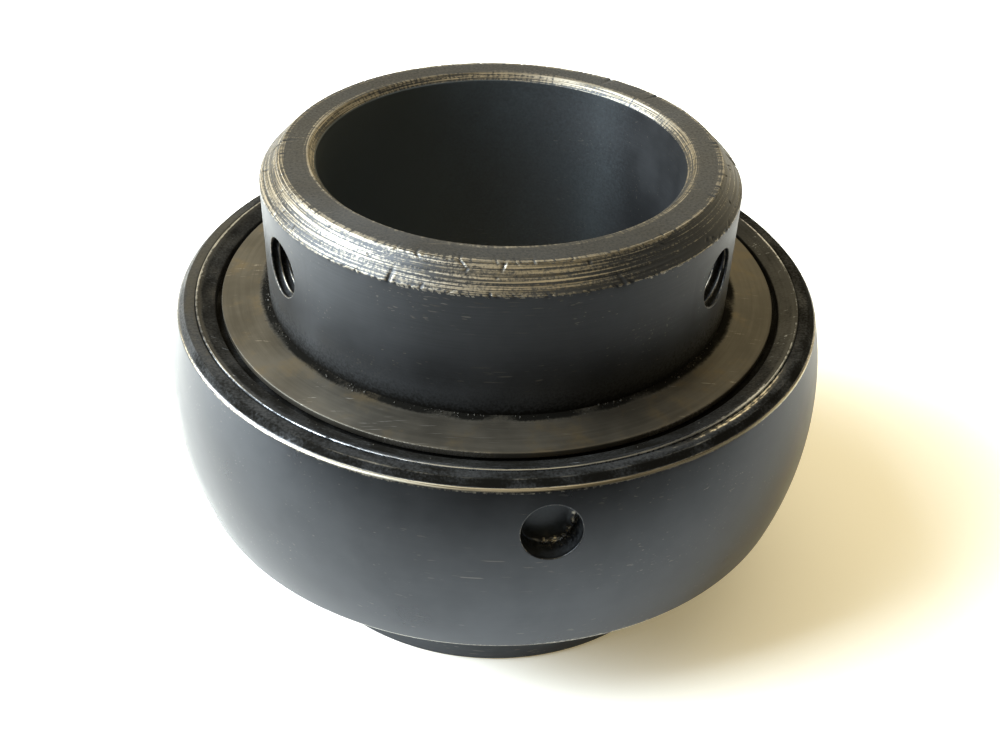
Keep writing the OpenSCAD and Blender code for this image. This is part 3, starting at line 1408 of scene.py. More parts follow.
    def dirt(self, section: Array, columns: int) -> Array:
        """Returns the film layer: painted shade on the wall above the flinger, a dark film on the
        face, and painted light in a pale tone in the bore.

        Args:
            section: radius and height of each row.
            columns: number of bearings.

        Returns:
            A value for each row and column: above 0 for film and painted shade, below 0 for painted
                light.
        """
        r, z = section[:, :1], section[:, 1:]
        bearings = full_turn(columns, columns // 2)
        # Painted light: a pale tone by bearing lifts the shaded bore and paints the soft highlight
        # band on its right. It is near 0 where the lamp's own highlight falls.
        painted_bore_light = by_bearing(bearings, [
            (-180, 0.65), (-165, 0.75), (-140, 1.3), (-90, 1.5), (60, 0.9), (80, 0),
            (121, -0.05), (129, 0.1), (136, 0.75), (144, 0.66), (153, 0.55), (165, 0.65),
        ]) * (r < self.bore_r + 0.1)
        outside = (z > 0) * (r > self.inner_r - 0.1)
        # Painted shade: the outer wall darkens towards the flinger, where the joint shades it.
        band = 0.45 * smooth_step(14.2, 12.6, z) + 0.56 * smooth_step(21.0, 12.4, z)
        face = smooth_step(self.nose_z - 0.08, self.nose_z, z)
        return band * outside + 0.38 * face - painted_bore_light

    def relief(self, section: Array, bearings: Array) -> Array:
        """Returns how far each point stands out from the plain ring.

        Turning marks are ripples with short waves across the chamfer and few
        round it. Nicks are bells, long one way and narrow the other, cut inwards.

        Args:
            section: radius and height of each row.
            bearings: bearing of each column.

        Returns:
            Millimetres for each row and column.
        """
        across, along = self.across_nose(section), self.down_nose(section)
        band = smooth_step(0.0, 0.06, across) * smooth_step(1.0, 0.94, across)
        rng = np.random.default_rng(SEED + 2)
        marks = ripples(bearings[None, :], along, rng, (0, 2), (0.34, 1.0), count=30)
        marks += 0.6 * ripples(bearings[None, :], along, rng, (1, 5), (0.3, 0.7), count=30)
        out = 0.009 * marks * band
        at_edges = bump_at(across, 0.0, 0.05) + bump_at(across, 1.0, 0.05)
        chewed = ripples(bearings[None, :], along, rng, (60, 330), (0.4, 2.0), count=40)
        out -= 0.022 * np.abs(chewed) * at_edges
        cuts, burrs = self.dents(section, bearings)
        return out - cuts + 0.5 * burrs

    def dents(self, section: Array, bearings: Array) -> tuple[Array, Array]:
        """Returns how deep the nicks cut, and the burr pushed up beside each.

        A nick is a product of two bells, one long and one narrow, leaning to
        either side; its burr is the same shape moved sideways.

        Args:
            section: radius and height of each row.
            bearings: bearing of each column.

        Returns:
            Both depths in millimetres, for each row and column.
        """
        along = self.down_nose(section)
        rng = np.random.default_rng(SEED + 5)
        arc = bearings[None, :] * self.inner_r
        turn = 2 * math.pi * self.inner_r
        cuts, burrs = np.zeros((2, len(section), len(bearings)))
        for i in range(self.nicks):
            at, depth = rng.uniform(-turn / 2, turn / 2), rng.uniform(0.06, 0.2)
            middle = rng.choice([0.0, 1.0, 1.0, rng.uniform(0.05, 0.95)]) * self.nose_leg * 1.414
            wide, tall = rng.uniform(0.1, 0.17), 0.12 + 0.6 * rng.random() ** 3
            lean = rng.uniform(-1.8, 1.8)
            if i % 14 == 0:
                depth, wide, tall, lean = 0.2, 0.2, 1.1, 0.35 * lean
            far = (arc - at + turn / 2) % turn - turn / 2 + lean * (along - middle)
            shape = depth * bump_at(along, middle, tall)
            cuts += shape * bump_at(far, 0, wide)
            burrs += 0.5 * shape * bump_at(far, 2.1 * wide, wide)
        return cuts, burrs

    def thread(self, drill: Drill, outer: Array, inner: Array, rows: int = 52) -> Array:
        """Returns the threaded wall between the mouths on the two cylinders.

        The wall's radius is a triangle wave of w / pitch - angle / 2 pi between
        the minor radius and the major one, eased in at both mouths.

        Args:
            drill: the hole's axes.
            outer: last ring of the outer collar.
            inner: last ring of the inner collar.
            rows: number of rows between them.

        Returns:
            The wall's rows of points.
        """
        first, last = outer - drill.origin, inner - drill.origin
        angles = [drill.angles(ring) for ring in (outer, inner)]
        turn = (angles[1] - angles[0] + math.pi) % (2 * math.pi) - math.pi
        t = np.linspace(0, 1, rows + 2)[1:-1, None]
        angle = angles[0] + turn * t
        w = (first @ drill.axis) * (1 - t) + (last @ drill.axis) * t
        phase = (w / self.pitch - angle / (2 * math.pi)) % 1.0
        wave = np.clip(np.abs(phase * 2 - 1) * 1.5 - 0.2, 0, 1)
        ease = smooth_step(0, 0.05, t) * smooth_step(1, 0.95, t)
        mouth = self.mouth_offset()
        crest, root = self.tap_r, self.tap_r + THREAD_DEPTH * self.pitch
        r = mouth * (1 - ease) + (crest + (root - crest) * wave) * ease
        return drill.solid(r * np.cos(angle), r * np.sin(angle), w)

    def mouth_offset(self) -> float:
        """Returns the radius of the tapped holes' mouths, between crest and root."""
        return self.tap_r + 0.1 * self.pitch

    def build(self) -> bpy.types.Object:
        """Builds the ring and taps its two holes.

        Returns:
            The ring, which stands for the CAD node inner_ring.
        """
        section = self.section()
        bearings = full_turn(self.columns, self.columns // 2)
        grid = revolve(section, bearings)
        low, high = self.tap_z - self.window_half, self.tap_z + self.window_half
        skin = Skin("inner_ring_body")
        keep = self.shape_nose(skin, section, grid)
        tubes = []
        for axis in self.tap_axes:
            bearing = math.atan2(axis[0], -axis[1])
            column = round(bearing / (2 * math.pi / self.columns)) + self.columns // 2
            sides = (column - self.window_columns, column + self.window_columns)
            rings = []
            for radius in (self.inner_r, self.bore_r):
                rows = np.flatnonzero(
                    (np.abs(section[:, 0] - radius) < 1e-6)
                    & (section[:, 1] > low - 1e-6) & (section[:, 1] < high + 1e-6)
                )
                window = Window(int(rows.min()), int(rows.max()), *sides)
                keep &= window.opens(*grid.shape[:2])
                rings.append((radius, window))
            tubes.append((axis, rings))
        skin.add(grid, self.wear(section, bearings), run_length(section)[:, None],
                 self.dirt(section, self.columns), close_rows=True, keep=keep)
        for axis, rings in tubes:
            self.tap(skin, axis, rings, grid)
        made = skin.build(self.finish.build())
        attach(made, "inner")
        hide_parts("inner_ring")
        return made

    def shape_nose(self, skin: Skin, section: Array, grid: Array) -> Array:
        """Adds the worn long end on finer columns, stitched to the plain rows.

        Args:
            skin: the surface to add to.
            section: radius and height of each row.
            grid: the ring's points on its plain columns.

        Returns:
            Which cells of the plain grid are left to make.
        """
        r, z = section[:, 0], section[:, 1]
        first = int(np.argmin(np.hypot(
            r - self.bore_r, z - (self.nose_z - self.mouth_leg - self.nose_margin))))
        last = int(np.argmin(np.hypot(
            r - self.inner_r, z - (self.nose_z - self.nose_leg - self.nose_margin))))
        bearings = full_turn(self.nose_columns, self.nose_columns // 2)
        rows = slice(first + 1, last)
        fine = revolve(section, bearings, self.relief(section, bearings))[rows]
        fine[..., 2] = np.minimum(fine[..., 2], self.nose_z)
        run = run_length(section)
        dirt = self.dirt(section, self.nose_columns)[rows]
        plain = self.dirt(section, self.columns)
        skin.add(fine, self.wear(section, bearings)[rows], run[rows, None], dirt)
        skin.stitch(grid[first], fine[0], run[first], (plain[first], dirt[0]))
        skin.stitch(grid[last], fine[-1], run[last], (plain[last], dirt[-1]))
        keep = np.ones(grid.shape[:2], dtype=bool)
        keep[first:last] = False
        return keep

    def tap(
        self, skin: Skin, axis: Array, rings: Sequence[tuple[float, Window]], grid: Array
    ) -> None:
        """Adds one tapped hole: outer collar, threaded wall and inner collar.

        Args:
            skin: the surface to add to.
            axis: unit axis out of the hole.
            rings: radius and window of the outside and of the bore.
            grid: the ring's points.
        """
        origin = np.array([0.0, 0.0, self.tap_z])
        collars = []
        for (radius, window), edge in zip(rings, (0.11, 0.1)):
            drill = Drill(origin, axis, lambda u, v, radius=radius: np.sqrt(radius**2 - u**2))
            rim = window.rim(grid)
            if radius == self.bore_r:
                edge = -edge
            order = np.argsort(drill.angles(rim), kind="stable")
            collar, _ = self.mouth(drill, rim[order], edge)
            collars.append(collar)
        drill = Drill(origin, axis, lambda u, v: np.sqrt(self.inner_r**2 - u**2))
        shift = self.best_shift(drill, collars[0][0], collars[1][0])
        collars[1] = np.roll(collars[1], shift, axis=1)
        wall = self.thread(drill, collars[0][-1], collars[1][-1])
        tube = np.concatenate([collars[0], wall, collars[1][::-1]])
        r = np.hypot(*np.moveaxis(drill.flat(tube), -1, 0))
        count = len(collars[0])
        crest = smooth_step(self.tap_r + 0.14, self.tap_r + 0.02, r)
        wear = np.zeros(tube.shape[:2])
        wear[count - MOUTH_CELLS - 1 : count] = 0.4
        wear[count:-count] = 0.6 * crest[count:-count]
        # Painted shade: the dark film fills the thread roots, where shade falls between the worn
        # crests.
        dirt = np.zeros(tube.shape[:2])
        dirt[count:-count] = 0.55 * (1 - crest[count:-count])
        skin.add(tube, wear, 200 + np.arange(len(tube))[:, None] * 0.12, dirt)

    def mouth(self, drill: Drill, rim: Array, edge: float) -> tuple[Array, Array]:
        """Returns a collar whose mouth turns outwards, or inwards if edge is negative.

        Args:
            drill: the hole's axes.
            rim: points once round the window's edge.
            edge: radius of the rounded mouth, with its sign.

        Returns:
            The collar's rings, and the angle of each column.
        """
        collar, angle = drill.collar(rim, self.mouth_offset(), abs(edge))
        if edge < 0:
            flat = drill.flat(collar[-MOUTH_CELLS:])
            base = drill.lift(flat[..., 0], flat[..., 1])
            sunk = (collar[-MOUTH_CELLS:] - drill.origin) @ drill.axis
            collar[-MOUTH_CELLS:] += ((base - sunk) * 2)[..., None] * drill.axis
        return collar, angle

    @staticmethod
    def best_shift(drill: Drill, first: Array, second: Array) -> int:
        """Returns how many columns to roll the second ring so that corners line up.

        Args:
            drill: the hole's axes.
            first, second: rings of points.

        Returns:
            A number of columns from -4 to 4.
        """
        a, b = drill.angles(first), drill.angles(second)
        gaps = [
            float(np.abs((a - np.roll(b, s) + math.pi) % (2 * math.pi) - math.pi).max())
            for s in range(-4, 5)
        ]
        return int(np.argmin(gaps)) - 4


class Side(Enum):
    """Which side of the balls a piece lies on; its value is its height's sign."""

    UPPER = 1
    LOWER = -1


@dataclass
class Flinger:
    """A pressed steel disc on the inner ring, with a rolled rim.

    Attributes:
        inner_r: radius of the ring that it sits on.
        rim_r: outside radius.
        top_z: height at the ring.
        fall: how far it falls towards its rim.
        sheet: thickness.
        neck: wall thickness of the neck on the ring.
        neck_depth: how far the neck reaches down the ring.
        columns: number of bearings round the disc.
    """

    inner_r: float
    rim_r: float
    top_z: float
    fall: float = 0.45
    sheet: float = 0.9
    neck: float = 0.9
    neck_depth: float = 1.5
    columns: int = 360

    def build(self, side: Side, finish: bpy.types.Material) -> bpy.types.Object:
        """Builds the flinger above or below the balls.

        Args:
            side: which of the two it is.
            finish: its material.

        Returns:
            The disc, which stands for the CAD flinger on that side.
        """
        name = f"{side.name.lower()}_flinger"
        rim_top = self.top_z - self.fall
        neck_r = self.inner_r + self.neck
        section = trace([
            Corner(self.inner_r, self.top_z - self.neck_depth, cells=3),
            Corner(self.inner_r, self.top_z, fillet=0.05, cells=16),
            Corner(self.rim_r, rim_top, fillet=0.16, cells=2),
            Corner(self.rim_r, rim_top - self.sheet, fillet=0.25, cells=8),
            Corner(neck_r, self.top_z - self.sheet - 0.07, fillet=0.2, cells=2),
            Corner(neck_r, self.top_z - self.neck_depth, cells=2),
        ])
        bearings = full_turn(self.columns)
        rng = np.random.default_rng(SEED + 10 + side.value)
        sheet_wave = ripples(bearings[None, :], section[:, :1], rng, (2, 7), (6, 20), count=10)
        free = smooth_step(self.inner_r + 1, self.rim_r, section[:, :1])
        relief = 0.008 * sheet_wave * free
        grid = revolve(section, bearings, relief)
        grid[..., 2] = np.minimum(grid[..., 2], self.top_z)
        grid[..., 2] *= side.value
        rubbed = by_bearing(bearings, [(-180, 0.2), (-90, 0.4), (-30, 0.42), (0, 0.3), (90, 0.2)])
        wear = bump_at(section[:, :1], self.rim_r - 0.02, 0.08) * rubbed
        # Painted shade: the disc darkens next to the inner ring, where the ring shades it and
        # darkens its reflection.
        dirt = smooth_step(self.inner_r + 1.75, self.inner_r + 0.6, section[:, :1])
        uneven = ripples(bearings[None, :], section[:, :1], rng, (5, 40), (3, 9))
        dirt = np.clip(dirt * (0.8 + 0.1 * uneven), 0, 1)
        run = section[:, :1] + np.zeros((1, self.columns))
        skin = Skin(f"{name}_disc")
        skin.add(grid, wear, run, dirt, close_rows=True)
        made = skin.build(finish)
        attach(made, "inner")
        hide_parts(name)
        return made


@dataclass
class SealCarrier:
    """The pressed cup in the outer ring's mouth that holds the rubber seal.

    Attributes:
        hole_r: radius of its hole.
        rim_r: outside radius of its rim.
        rim_top: height of the rim's edge.
        shelf_z: height of its underside.
        cup_r: radius of the cup's wall.
        cup_out: outside radius of that wall.
        cone_z, rim_z: heights of the cone under the rim.
        sheet: thickness.
        columns: number of bearings round the cup.
    """

    hole_r: float
    rim_r: float
    rim_top: float
    shelf_z: float
    cup_r: float = 36.1
    cup_out: float = 36.85
    cone_z: float = 11.25
    rim_z: float = 12.05
    sheet: float = 0.75
    columns: int = 480

    def build(self, side: Side, finish: bpy.types.Material) -> bpy.types.Object:
        """Builds the carrier above or below the balls.

        Args:
            side: which of the two it is.
            finish: its material.

        Returns:
            The cup, which stands for the CAD seal plate on that side.
        """
        name = f"{side.name.lower()}_seal_plate"
        section = trace([
            Corner(self.hole_r, self.shelf_z, cells=4),
            Corner(self.cup_out, self.shelf_z, cells=2),
            Corner(self.cup_out, self.cone_z, cells=2),
            Corner(self.rim_r, self.rim_z, cells=2),
            Corner(self.rim_r, self.rim_top, fillet=0.14, cells=1),
            Corner(self.rim_r - 0.36, self.rim_top - 0.06, fillet=0.1, cells=8),
            Corner(self.cup_r, self.rim_z, fillet=0.22, cells=3),
            Corner(self.cup_r, self.shelf_z + self.sheet, fillet=0.2, cells=8),
            Corner(self.hole_r, self.shelf_z + self.sheet, fillet=0.1, cells=2),
        ])
        bearings = full_turn(self.columns)
        rng = np.random.default_rng(SEED + 20 + side.value)
        ragged = ripples(bearings[None, :], section[:, :1], rng, (40, 280), (0.5, 4), count=40)
        at_rim = bump_at(section[:, :1], self.rim_r - 0.2, 0.25) * (section[:, 1:] > self.rim_z)
        grid = revolve(section, bearings, -0.012 * np.abs(ragged) * at_rim)
        grid[..., 2] *= side.value
        side_wear = by_bearing(bearings, [
            (-180, 0.55), (-90, 0.8), (-30, 1.0), (0, 0.95), (28, 1.0), (36, 1.3),
            (52, 1.3), (75, 0.6), (120, 0.4),
        ])
        wear = np.clip(bump_at(section[:, :1], self.rim_r - 0.16, 0.17) * side_wear
                       * (section[:, 1:] > self.rim_z + 0.2) * (1 + 0.22 * ragged), 0, 1)
        run = section[:, :1] + section[:, 1:] * 0.5 + np.zeros((1, self.columns))
        uneven = 1 + 0.12 * ripples(bearings[None, :], section[:, :1], rng, (3, 60), (1, 8))
        # Painted shade: the dark film covers the cup's floor and wall, the recess beside the
        # flinger's rim. A dark film also lies on the slope under the rim, strongest at the front.
        dirt = 0.7 * smooth_step(self.cup_r + 0.35, self.cup_r - 0.15, section[:, :1])
        packed = by_bearing(bearings, [
            (-180, 0.5), (-90, 0.56), (-30, 0.66), (20, 0.66), (55, 0.5), (80, 0.3), (120, 0.3),
        ])
        slope = smooth_step(self.rim_r - 0.35, self.rim_r - 0.8, section[:, :1])
        dirt = np.maximum(dirt, packed * slope) * uneven
        skin = Skin(f"{name}_cup")
        skin.add(grid, wear, run, dirt, close_rows=True)
        made = skin.build(finish)
        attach(made, "outer")
        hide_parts(name)
        return made


@dataclass
class RollingSet:
    """The balls, cage and rivets between the rings. Their CAD shapes stay."""

    ball_finish: PlainMetal = PlainMetal("ball_steel", 0.62, 0.01, 0.08, depth=2e-7)
    cage_finish: PlainMetal = PlainMetal("cage_steel", 0.42, 0.06, 0.38)
    rivet_finish: PlainMetal = PlainMetal("rivet_steel", 0.5, 0.02, 0.3)

    def dress(self) -> list[str]:
        """Gives each ball, the cage halves and the rivets their finish.

        Returns:
            The names of the pieces that were dressed.
        """
        ball, cage, rivet = (
            f.build() for f in (self.ball_finish, self.cage_finish, self.rivet_finish)
        )
        dressed = []
        for name, piece in sorted(frame["nodes"].items()):
            material = None
            if name.startswith("ball_"):
                material = ball
            elif name == "cage_rivets":
                material = rivet
            elif name.startswith("cage_"):
                material = cage
            if material is not None:
                assign(piece, material)
                dressed.append(name)
        return dressed


def assign(piece: bpy.types.Object, material: bpy.types.Material) -> None:
    """Puts a material into every slot of a piece."""
    for slot in piece.material_slots:
        slot.material = material


class Joint(Enum):
    """Where crumbs gather: the body they ride on, and which way they spread."""

    RING = ("inner", 1)
    GAP = ("outer", -1)


@dataclass
class Grit:
    """Crumbs of dirt packed along a joint between two pieces.

    Attributes:
        joint: which joint.
        r: radius of the joint.
        z: height of the joint.
        slope: how far the surface falls for each millimetre away from the joint.
        spread: how far the crumbs stray.
        count: number of crumbs.
        heaps: number of heaps that they lie in.
        rows, columns: rows and columns of each crumb's surface.
    """

    joint: Joint
    r: float
    z: float
    slope: float
    spread: float = 0.42
    count: int = 480
    heaps: int = 34
    rows: int = 5
    columns: int = 7

    def build(self, finish: bpy.types.Material) -> bpy.types.Object:
        """Scatters the crumbs in heaps round the joint.

        A crumb is the ball (sin a cos b, sin a sin b, cos a) with each point
        pushed in or out at random, on a grid of a and b whose end rows close.

        Args:
            finish: the crumbs' material.

        Returns:
            One object with every crumb in it.
        """
        body, way = self.joint.value
        rng = np.random.default_rng(SEED + 30 + way)
        heaps = rng.vonmises(-0.3, 0.5, self.heaps)
        bearing = rng.choice(heaps, self.count) + rng.normal(0, 0.09, self.count)
        size = 0.03 + 0.11 * rng.random(self.count) ** 4
        off = np.abs(rng.normal(0, self.spread, self.count)) + size * 0.4
        r = self.r + way * off
        centre = np.stack([r * np.sin(bearing), -r * np.cos(bearing),
                           self.z - self.slope * off + size * 0.25], axis=-1)
        a = np.linspace(0, math.pi, self.rows)[:, None]
        b = full_turn(self.columns)
        ball = np.stack([np.sin(a) * np.cos(b), np.sin(a) * np.sin(b),
                         np.cos(a) + 0 * b], axis=-1)
        lump = 1 + 0.22 * rng.standard_normal((self.count, self.rows, self.columns, 1))
        lump[:, 0], lump[:, -1] = 1.0, 1.0
        stretch = rng.uniform(0.6, 1.3, (self.count, 1, 1, 3))
        points = centre[:, None, None] + ball * lump * stretch * size[:, None, None, None]
        skin = Skin(f"{self.joint.name.lower()}_grit")
        index = np.arange(self.count * self.rows * self.columns)
        index = index.reshape(self.count, self.rows, self.columns)
        nxt = np.roll(index, -1, axis=2)
        quads = np.stack([index[:, :-1], nxt[:, :-1], nxt[:, 1:], index[:, 1:]], axis=-1)
        shade = np.repeat(rng.random(self.count), self.rows * self.columns)
        skin.gather(points, quads, shade)
        made = skin.build(finish)
        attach(made, body)
        return made


# ---------------------------------------------------------------- studio


def facing(bearing: float, height: float) -> tuple[Array, Array]:
    """Returns the unit vector towards a bearing and a height.

    It is (sin a cos e, -cos a cos e, sin e).

    Args:
        bearing: a, in degrees from -Y towards +X.
        height: e, the elevation in degrees.

    Returns:
        That vector, and the level unit vector at a right angle to it.
    """
    a, e = math.radians(bearing), math.radians(height)
    out = np.array([math.sin(a) * math.cos(e), -math.cos(a) * math.cos(e), math.sin(e)])
    return out, np.array([math.cos(a), math.sin(a), 0.0])


def swing(first: Array, second: Array, degrees: float) -> tuple[Array, Array]:
    """Turns two axes in their plane, the first one towards the second."""
    c, s = math.cos(math.radians(degrees)), math.sin(math.radians(degrees))
    return first * c + second * s, second * c - first * s


def stand(thing: bpy.types.Object, place: Array, axes: Sequence[Array]) -> None:
    """Stands a lamp or a camera at its place and adds it to the scene.

    Args:
        thing: the lamp or the camera.
        place: where it stands, in metres.
        axes: the directions of its own x, y and z.
    """
    turn = Matrix(np.stack(axes, axis=1).tolist()).to_4x4()
    thing.matrix_world = Matrix.Translation(place.tolist()) @ turn
    bpy.context.scene.collection.objects.link(thing)


@dataclass(frozen=True)
class Lamp:
    """A soft rectangular lamp that faces the bearing.

    Attributes:
        name: the lamp's name.
        bearing: where it stands round the object, in degrees from -Y towards +X.
        height: its elevation above the floor plane, in degrees.
        distance: its distance in metres.
        width, tall: its size in metres.
        power: in watts.
        colour: its colour.
        floor_only: whether it lights the floor alone, around the object's shadow.
    """

    name: str
    bearing: float
    height: float
    distance: float
    width: float
    tall: float
    power: float
    colour: tuple[float, float, float]
    floor_only: bool = False

    def build(self, floor: bpy.types.Object) -> None:
        """Makes the lamp and turns it to the origin.

        Args:
            floor: the floor, for a lamp that lights nothing else.
        """
        data = bpy.data.lights.new(self.name, "AREA")
        data.shape = "RECTANGLE"
        data.size, data.size_y = self.width, self.tall
        data.energy = self.power
        data.color = self.colour
        lamp = bpy.data.objects.new(self.name, data)
        out, side = facing(self.bearing, self.height)
        stand(lamp, out * self.distance, (side, np.cross(out, side), out))
        if self.floor_only:
            lit = bpy.data.collections.new(f"{self.name}_lit")
            lit.objects.link(floor)
            lamp.light_linking.receiver_collection = lit


@dataclass(frozen=True)
class View:
    """The camera's place and aim.

    Attributes:
        bearing: where it stands round the object, in degrees.
        height: its elevation in degrees.
        distance: its distance from the origin in metres.
        pan, tilt, roll: small turns off the line to the origin, in degrees.
        lens: focal length in millimetres on a 36 mm sensor.
    """

    bearing: float = -0.85
    height: float = 35.499
    distance: float = 0.16687
    pan: float = 0.2363
    tilt: float = -0.8007
    roll: float = 1.8048
    lens: float = 44.08

    def build(self) -> None:
        """Makes the camera and sets it as the scene's."""
        back, right = facing(self.bearing, self.height)
        ahead, up = swing(-back, np.cross(back, right), self.tilt)
        ahead, right = swing(ahead, right, self.pan)
        right, up = swing(right, up, self.roll)
        data = bpy.data.cameras.new("camera")
        data.lens, data.sensor_width = self.lens, 36.0
        data.clip_start, data.clip_end = 0.005, 20.0
        camera = bpy.data.objects.new("camera", data)
        stand(camera, back * self.distance, (right, up, -ahead))
        bpy.context.scene.camera = camera


@dataclass
class Studio:
    """Floor, world, lamps and camera.

    Attributes:
        floor_z: height of the object's foot in metres.
        floor_r: radius of the floor in metres.
        floor_gap: how far the floor lies under the foot, in metres.
        rows, columns: the floor's rows and columns of points.
        lamps: the soft lamps.
        camera: the camera.
    """

    floor_z: float
    floor_r: float = 0.5
    floor_gap: float = 2e-5
    rows: int = 12
    columns: int = 96
    lamps: Sequence[Lamp] = (
        Lamp("window", -86, 37, 0.8, 0.72, 0.8, 13.5, (0.84, 0.94, 1.0)),
        Lamp("floor_wash", -79, 36, 0.8, 0.55, 0.4, 18.0, (0.82, 0.93, 1.0), floor_only=True),
        Lamp("room_wash", 170, 55, 1.0, 1.2, 1.2, 4.0, (1.0, 0.84, 0.5), floor_only=True),
    )
    camera: View = View()

    def build(self) -> None:
        """Builds the whole studio."""
        floor = self.lay_floor()
        self.light_world()
        for lamp in self.lamps:
            lamp.build(floor)
        self.camera.build()
        settings = bpy.context.scene.view_settings
        settings.view_transform = "Standard"

    def lay_floor(self) -> bpy.types.Object:
        """Lays a round floor: point (i, j) is at radius r_i and bearing b_j.

        A camera ray sees it pale all over. What it gives back to the object is painted light: it
        fades from the back to the front, like a pool of window light, and darkens a little to the
        right as a painted shadow.

        Returns:
            The floor.
        """
        r = np.linspace(0, 1, self.rows)[:, None] ** 2 * self.floor_r
        b = full_turn(self.columns)
        level = self.floor_z - self.floor_gap
        grid = np.stack([r * np.sin(b), -r * np.cos(b), level + 0 * r * b], axis=-1)
        skin = Skin("floor")
        skin.add(grid / MM)
        g = Graph("pale_floor")
        rays = g.tree.nodes.new("ShaderNodeLightPath")
        x, y, _ = g.parts(g.place())
        # Painted light, for reflections only: the floor fades towards the front and darkens to the
        # right, where the object's shadow lies.
        painted_floor_light = g.between(g.step(y, -0.175, 0.075), 0.04, 0.95)
        right = g.between(g.step(x, -0.03, 0.12), 1.0, 0.68)
        painted_floor_light = g.math("MULTIPLY", painted_floor_light, right)
        share = g.between(rays.outputs["Is Camera Ray"], painted_floor_light, 1.0)
        tint = g.tree.nodes.new("ShaderNodeCombineColor")
        for socket in tint.inputs:
            g.put(socket, g.math("MULTIPLY", share, 0.92))
        g.put(g.shader.inputs["Base Color"], tint.outputs[0])
        g.shader.inputs["Roughness"].default_value = 0.7
        g.shader.inputs["Specular IOR Level"].default_value = 0.2
        # For the camera the glow lifts the floor evenly. For reflections it follows the painted
        # floor light, a glow that no lamp gives.
        seen = g.math("ADD", rays.outputs["Is Camera Ray"], rays.outputs["Is Glossy Ray"])
        g.shader.inputs["Emission Color"].default_value = (1.0, 0.82, 0.46, 1.0)
        backdrop_and_painted_glow = g.math("MULTIPLY", g.math("MULTIPLY", seen, share), 0.26)
        g.put(g.shader.inputs["Emission Strength"], backdrop_and_painted_glow)
        floor = skin.build(g.material)
        return floor

    def light_world(self) -> None:
        """Makes the room's light: warm above and behind, dim towards the camera.

        A camera ray sees plain white.
        """
        world = bpy.data.worlds.new("room")
        bpy.context.scene.world = world
        world.use_nodes = True
        g = Nodes(world.node_tree)
        room, white = (g.tree.nodes.new("ShaderNodeBackground") for _ in range(2))
        mix = g.tree.nodes.new("ShaderNodeMixShader")
        rays = g.tree.nodes.new("ShaderNodeLightPath")
        output = g.tree.nodes.new("ShaderNodeOutputWorld")
        mixed = (rays.outputs["Is Camera Ray"], room.outputs[0], white.outputs[0])
        for target, value in zip(mix.inputs, mixed):
            g.put(target, value)
        g.put(output.inputs[0], mix.outputs[0])
        white.inputs[0].default_value = (1, 1, 1, 1)
        x, y, z = g.parts(g.tree.nodes.new("ShaderNodeTexCoord").outputs["Generated"])
        low_down = g.math("MULTIPLY_ADD", g.step(z, 0.3, 0.95), -0.7, 1.0)
        behind = g.math("MULTIPLY", g.step(y, -0.45, 0.5), low_down)
        above = g.math("MULTIPLY", g.step(z, 0.45, 0.85), 0.62)
        in_front = g.math("MULTIPLY_ADD", g.step(y, -0.2, 0.4), -0.6, 1.0)
        above = g.math("MULTIPLY", above, in_front)
        around = g.math("MULTIPLY_ADD", g.step(y, -0.6, -0.1), 0.07, 0.02)
        level = g.math("ADD", g.math("ADD", behind, above), around)
        upper_right = g.math("MULTIPLY", g.step(x, 0.25, 0.8), g.step(z, 0.0, 0.35))
        level = g.math("MULTIPLY", level, g.math("MULTIPLY_ADD", upper_right, -0.88, 1.0))
        over_floor = g.math("MULTIPLY_ADD", g.step(z, -0.02, -0.2), -0.8, 1.0)
        level = g.math("MULTIPLY", level, over_floor)
        room.inputs[0].default_value = (1.0, 0.84, 0.52, 1.0)
        g.put(room.inputs[1], level)


# ---------------------------------------------------------------- assembly


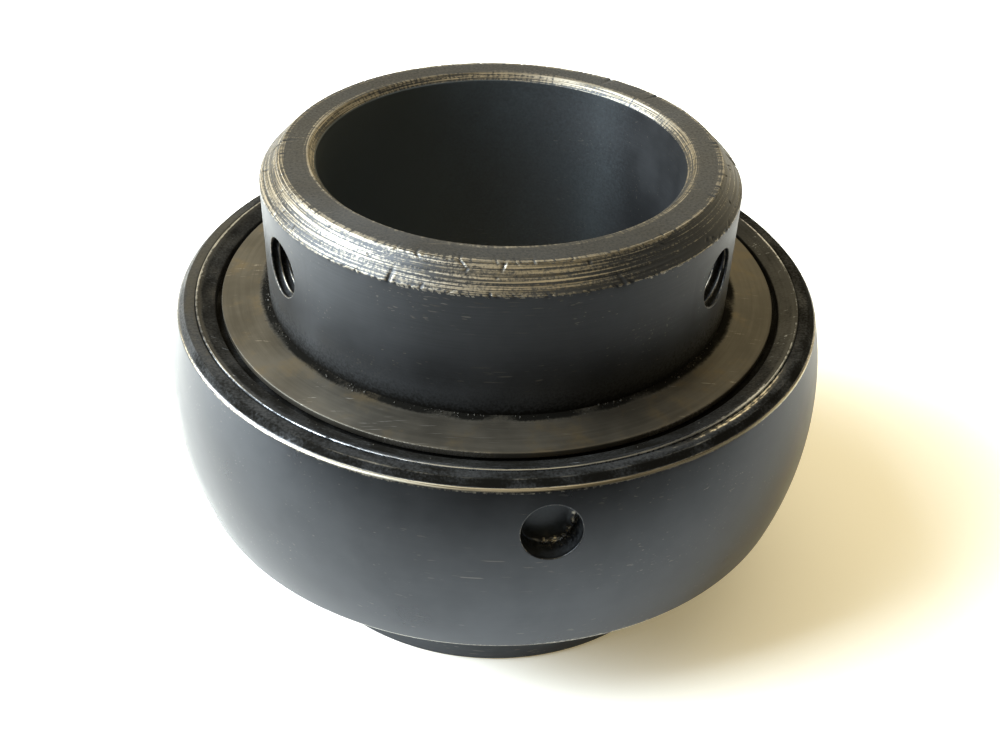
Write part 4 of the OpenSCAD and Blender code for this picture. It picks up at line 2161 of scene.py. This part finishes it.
@dataclass
class Bearing:
    """The whole bearing, with its sizes read from the frame.

    Attributes:
        gauge: reads the sizes.
        lip_room: how far the seal carriers' holes clear the inner ring.
        crumb_r: how far outside the carrier's cup the dirt in the gap lies.
        crumb_z: height of that dirt.
    """

    gauge: Gauge
    lip_room: float = 2.1
    crumb_r: float = 0.9
    crumb_z: float = 12.3

    def build(self) -> None:
        """Builds and dresses every piece, and reports each one."""
        gauge = self.gauge
        tap_axes = [gauge.axis(f"set_screw_{side}") for side in ("left", "right")]
        outer = OuterRing(
            gauge.reach("outer_ring"), gauge.top("outer_ring"),
            gauge.radius("locating_dimple"), gauge.axis("locating_dimple"),
        )
        inner = InnerRing(
            gauge.radius("shaft_bore"), gauge.reach("inner_ring"), gauge.top("inner_ring"),
            gauge.bottom("inner_ring"), gauge.radius("set_screw_left"),
            float(gauge.place("set_screw_left")[2]), tap_axes,
        )
        for ring in (outer, inner):
            report(ring.build())
        inner_r = gauge.reach("inner_ring")
        flinger = Flinger(inner_r, gauge.reach("upper_flinger"), gauge.top("upper_flinger"))
        carrier = SealCarrier(
            inner_r + self.lip_room, gauge.reach("upper_seal_plate"), gauge.top("upper_seal_plate"),
            gauge.bottom("upper_seal_plate"),
        )
        flinger_steel = BlackenedSteel(
            "flinger_steel", oxide=0.1, oxide_warmth=0.12, gloss=0.42, bare_gloss=0.35,
            line_pitch=2.0, line_depth=1.5e-6, brushed=0.2, stain=0.5, cloudy=0.3, metal=0.62,
        ).build()
        carrier_steel = BlackenedSteel(
            "carrier_steel", oxide=0.055, oxide_warmth=-0.07, gloss=0.42, bare_gloss=0.35,
            bare=0.6, bare_warmth=-0.08, line_pitch=4.0, cloudy=0.4,
        ).build()
        for side in Side:
            report(flinger.build(side, flinger_steel))
            report(carrier.build(side, carrier_steel))
        crumbs = PlainMetal("packed_dirt", 0.14, 0.05, 0.5).build()
        top = gauge.top("upper_flinger")
        report(Grit(Joint.RING, inner_r, top, slope=0.075).build(crumbs))
        gap_r = carrier.cup_r + self.crumb_r
        report(Grit(Joint.GAP, gap_r, self.crumb_z, slope=0.55, count=300).build(crumbs))
        for name in RollingSet().dress():
            LOG.info("dressed %s", name)
        rubber = Rubber("seal_rubber").build()
        for name in ("upper_seal", "lower_seal"):
            assign(frame["nodes"][name], rubber)
            LOG.info("dressed %s", name)


def report(piece: bpy.types.Object) -> None:
    """Logs a piece's name and how many faces it has."""
    LOG.info("built %s with %d faces", piece.name, len(piece.data.polygons))


def main() -> None:
    """Builds the bearing and its studio."""
    logging.basicConfig(level=logging.INFO, format="%(name)s: %(message)s")
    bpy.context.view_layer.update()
    Bearing(Gauge(frame)).build()
    Studio(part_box("inner_ring")[0][2]).build()


if __name__ == "__main__":
    main()
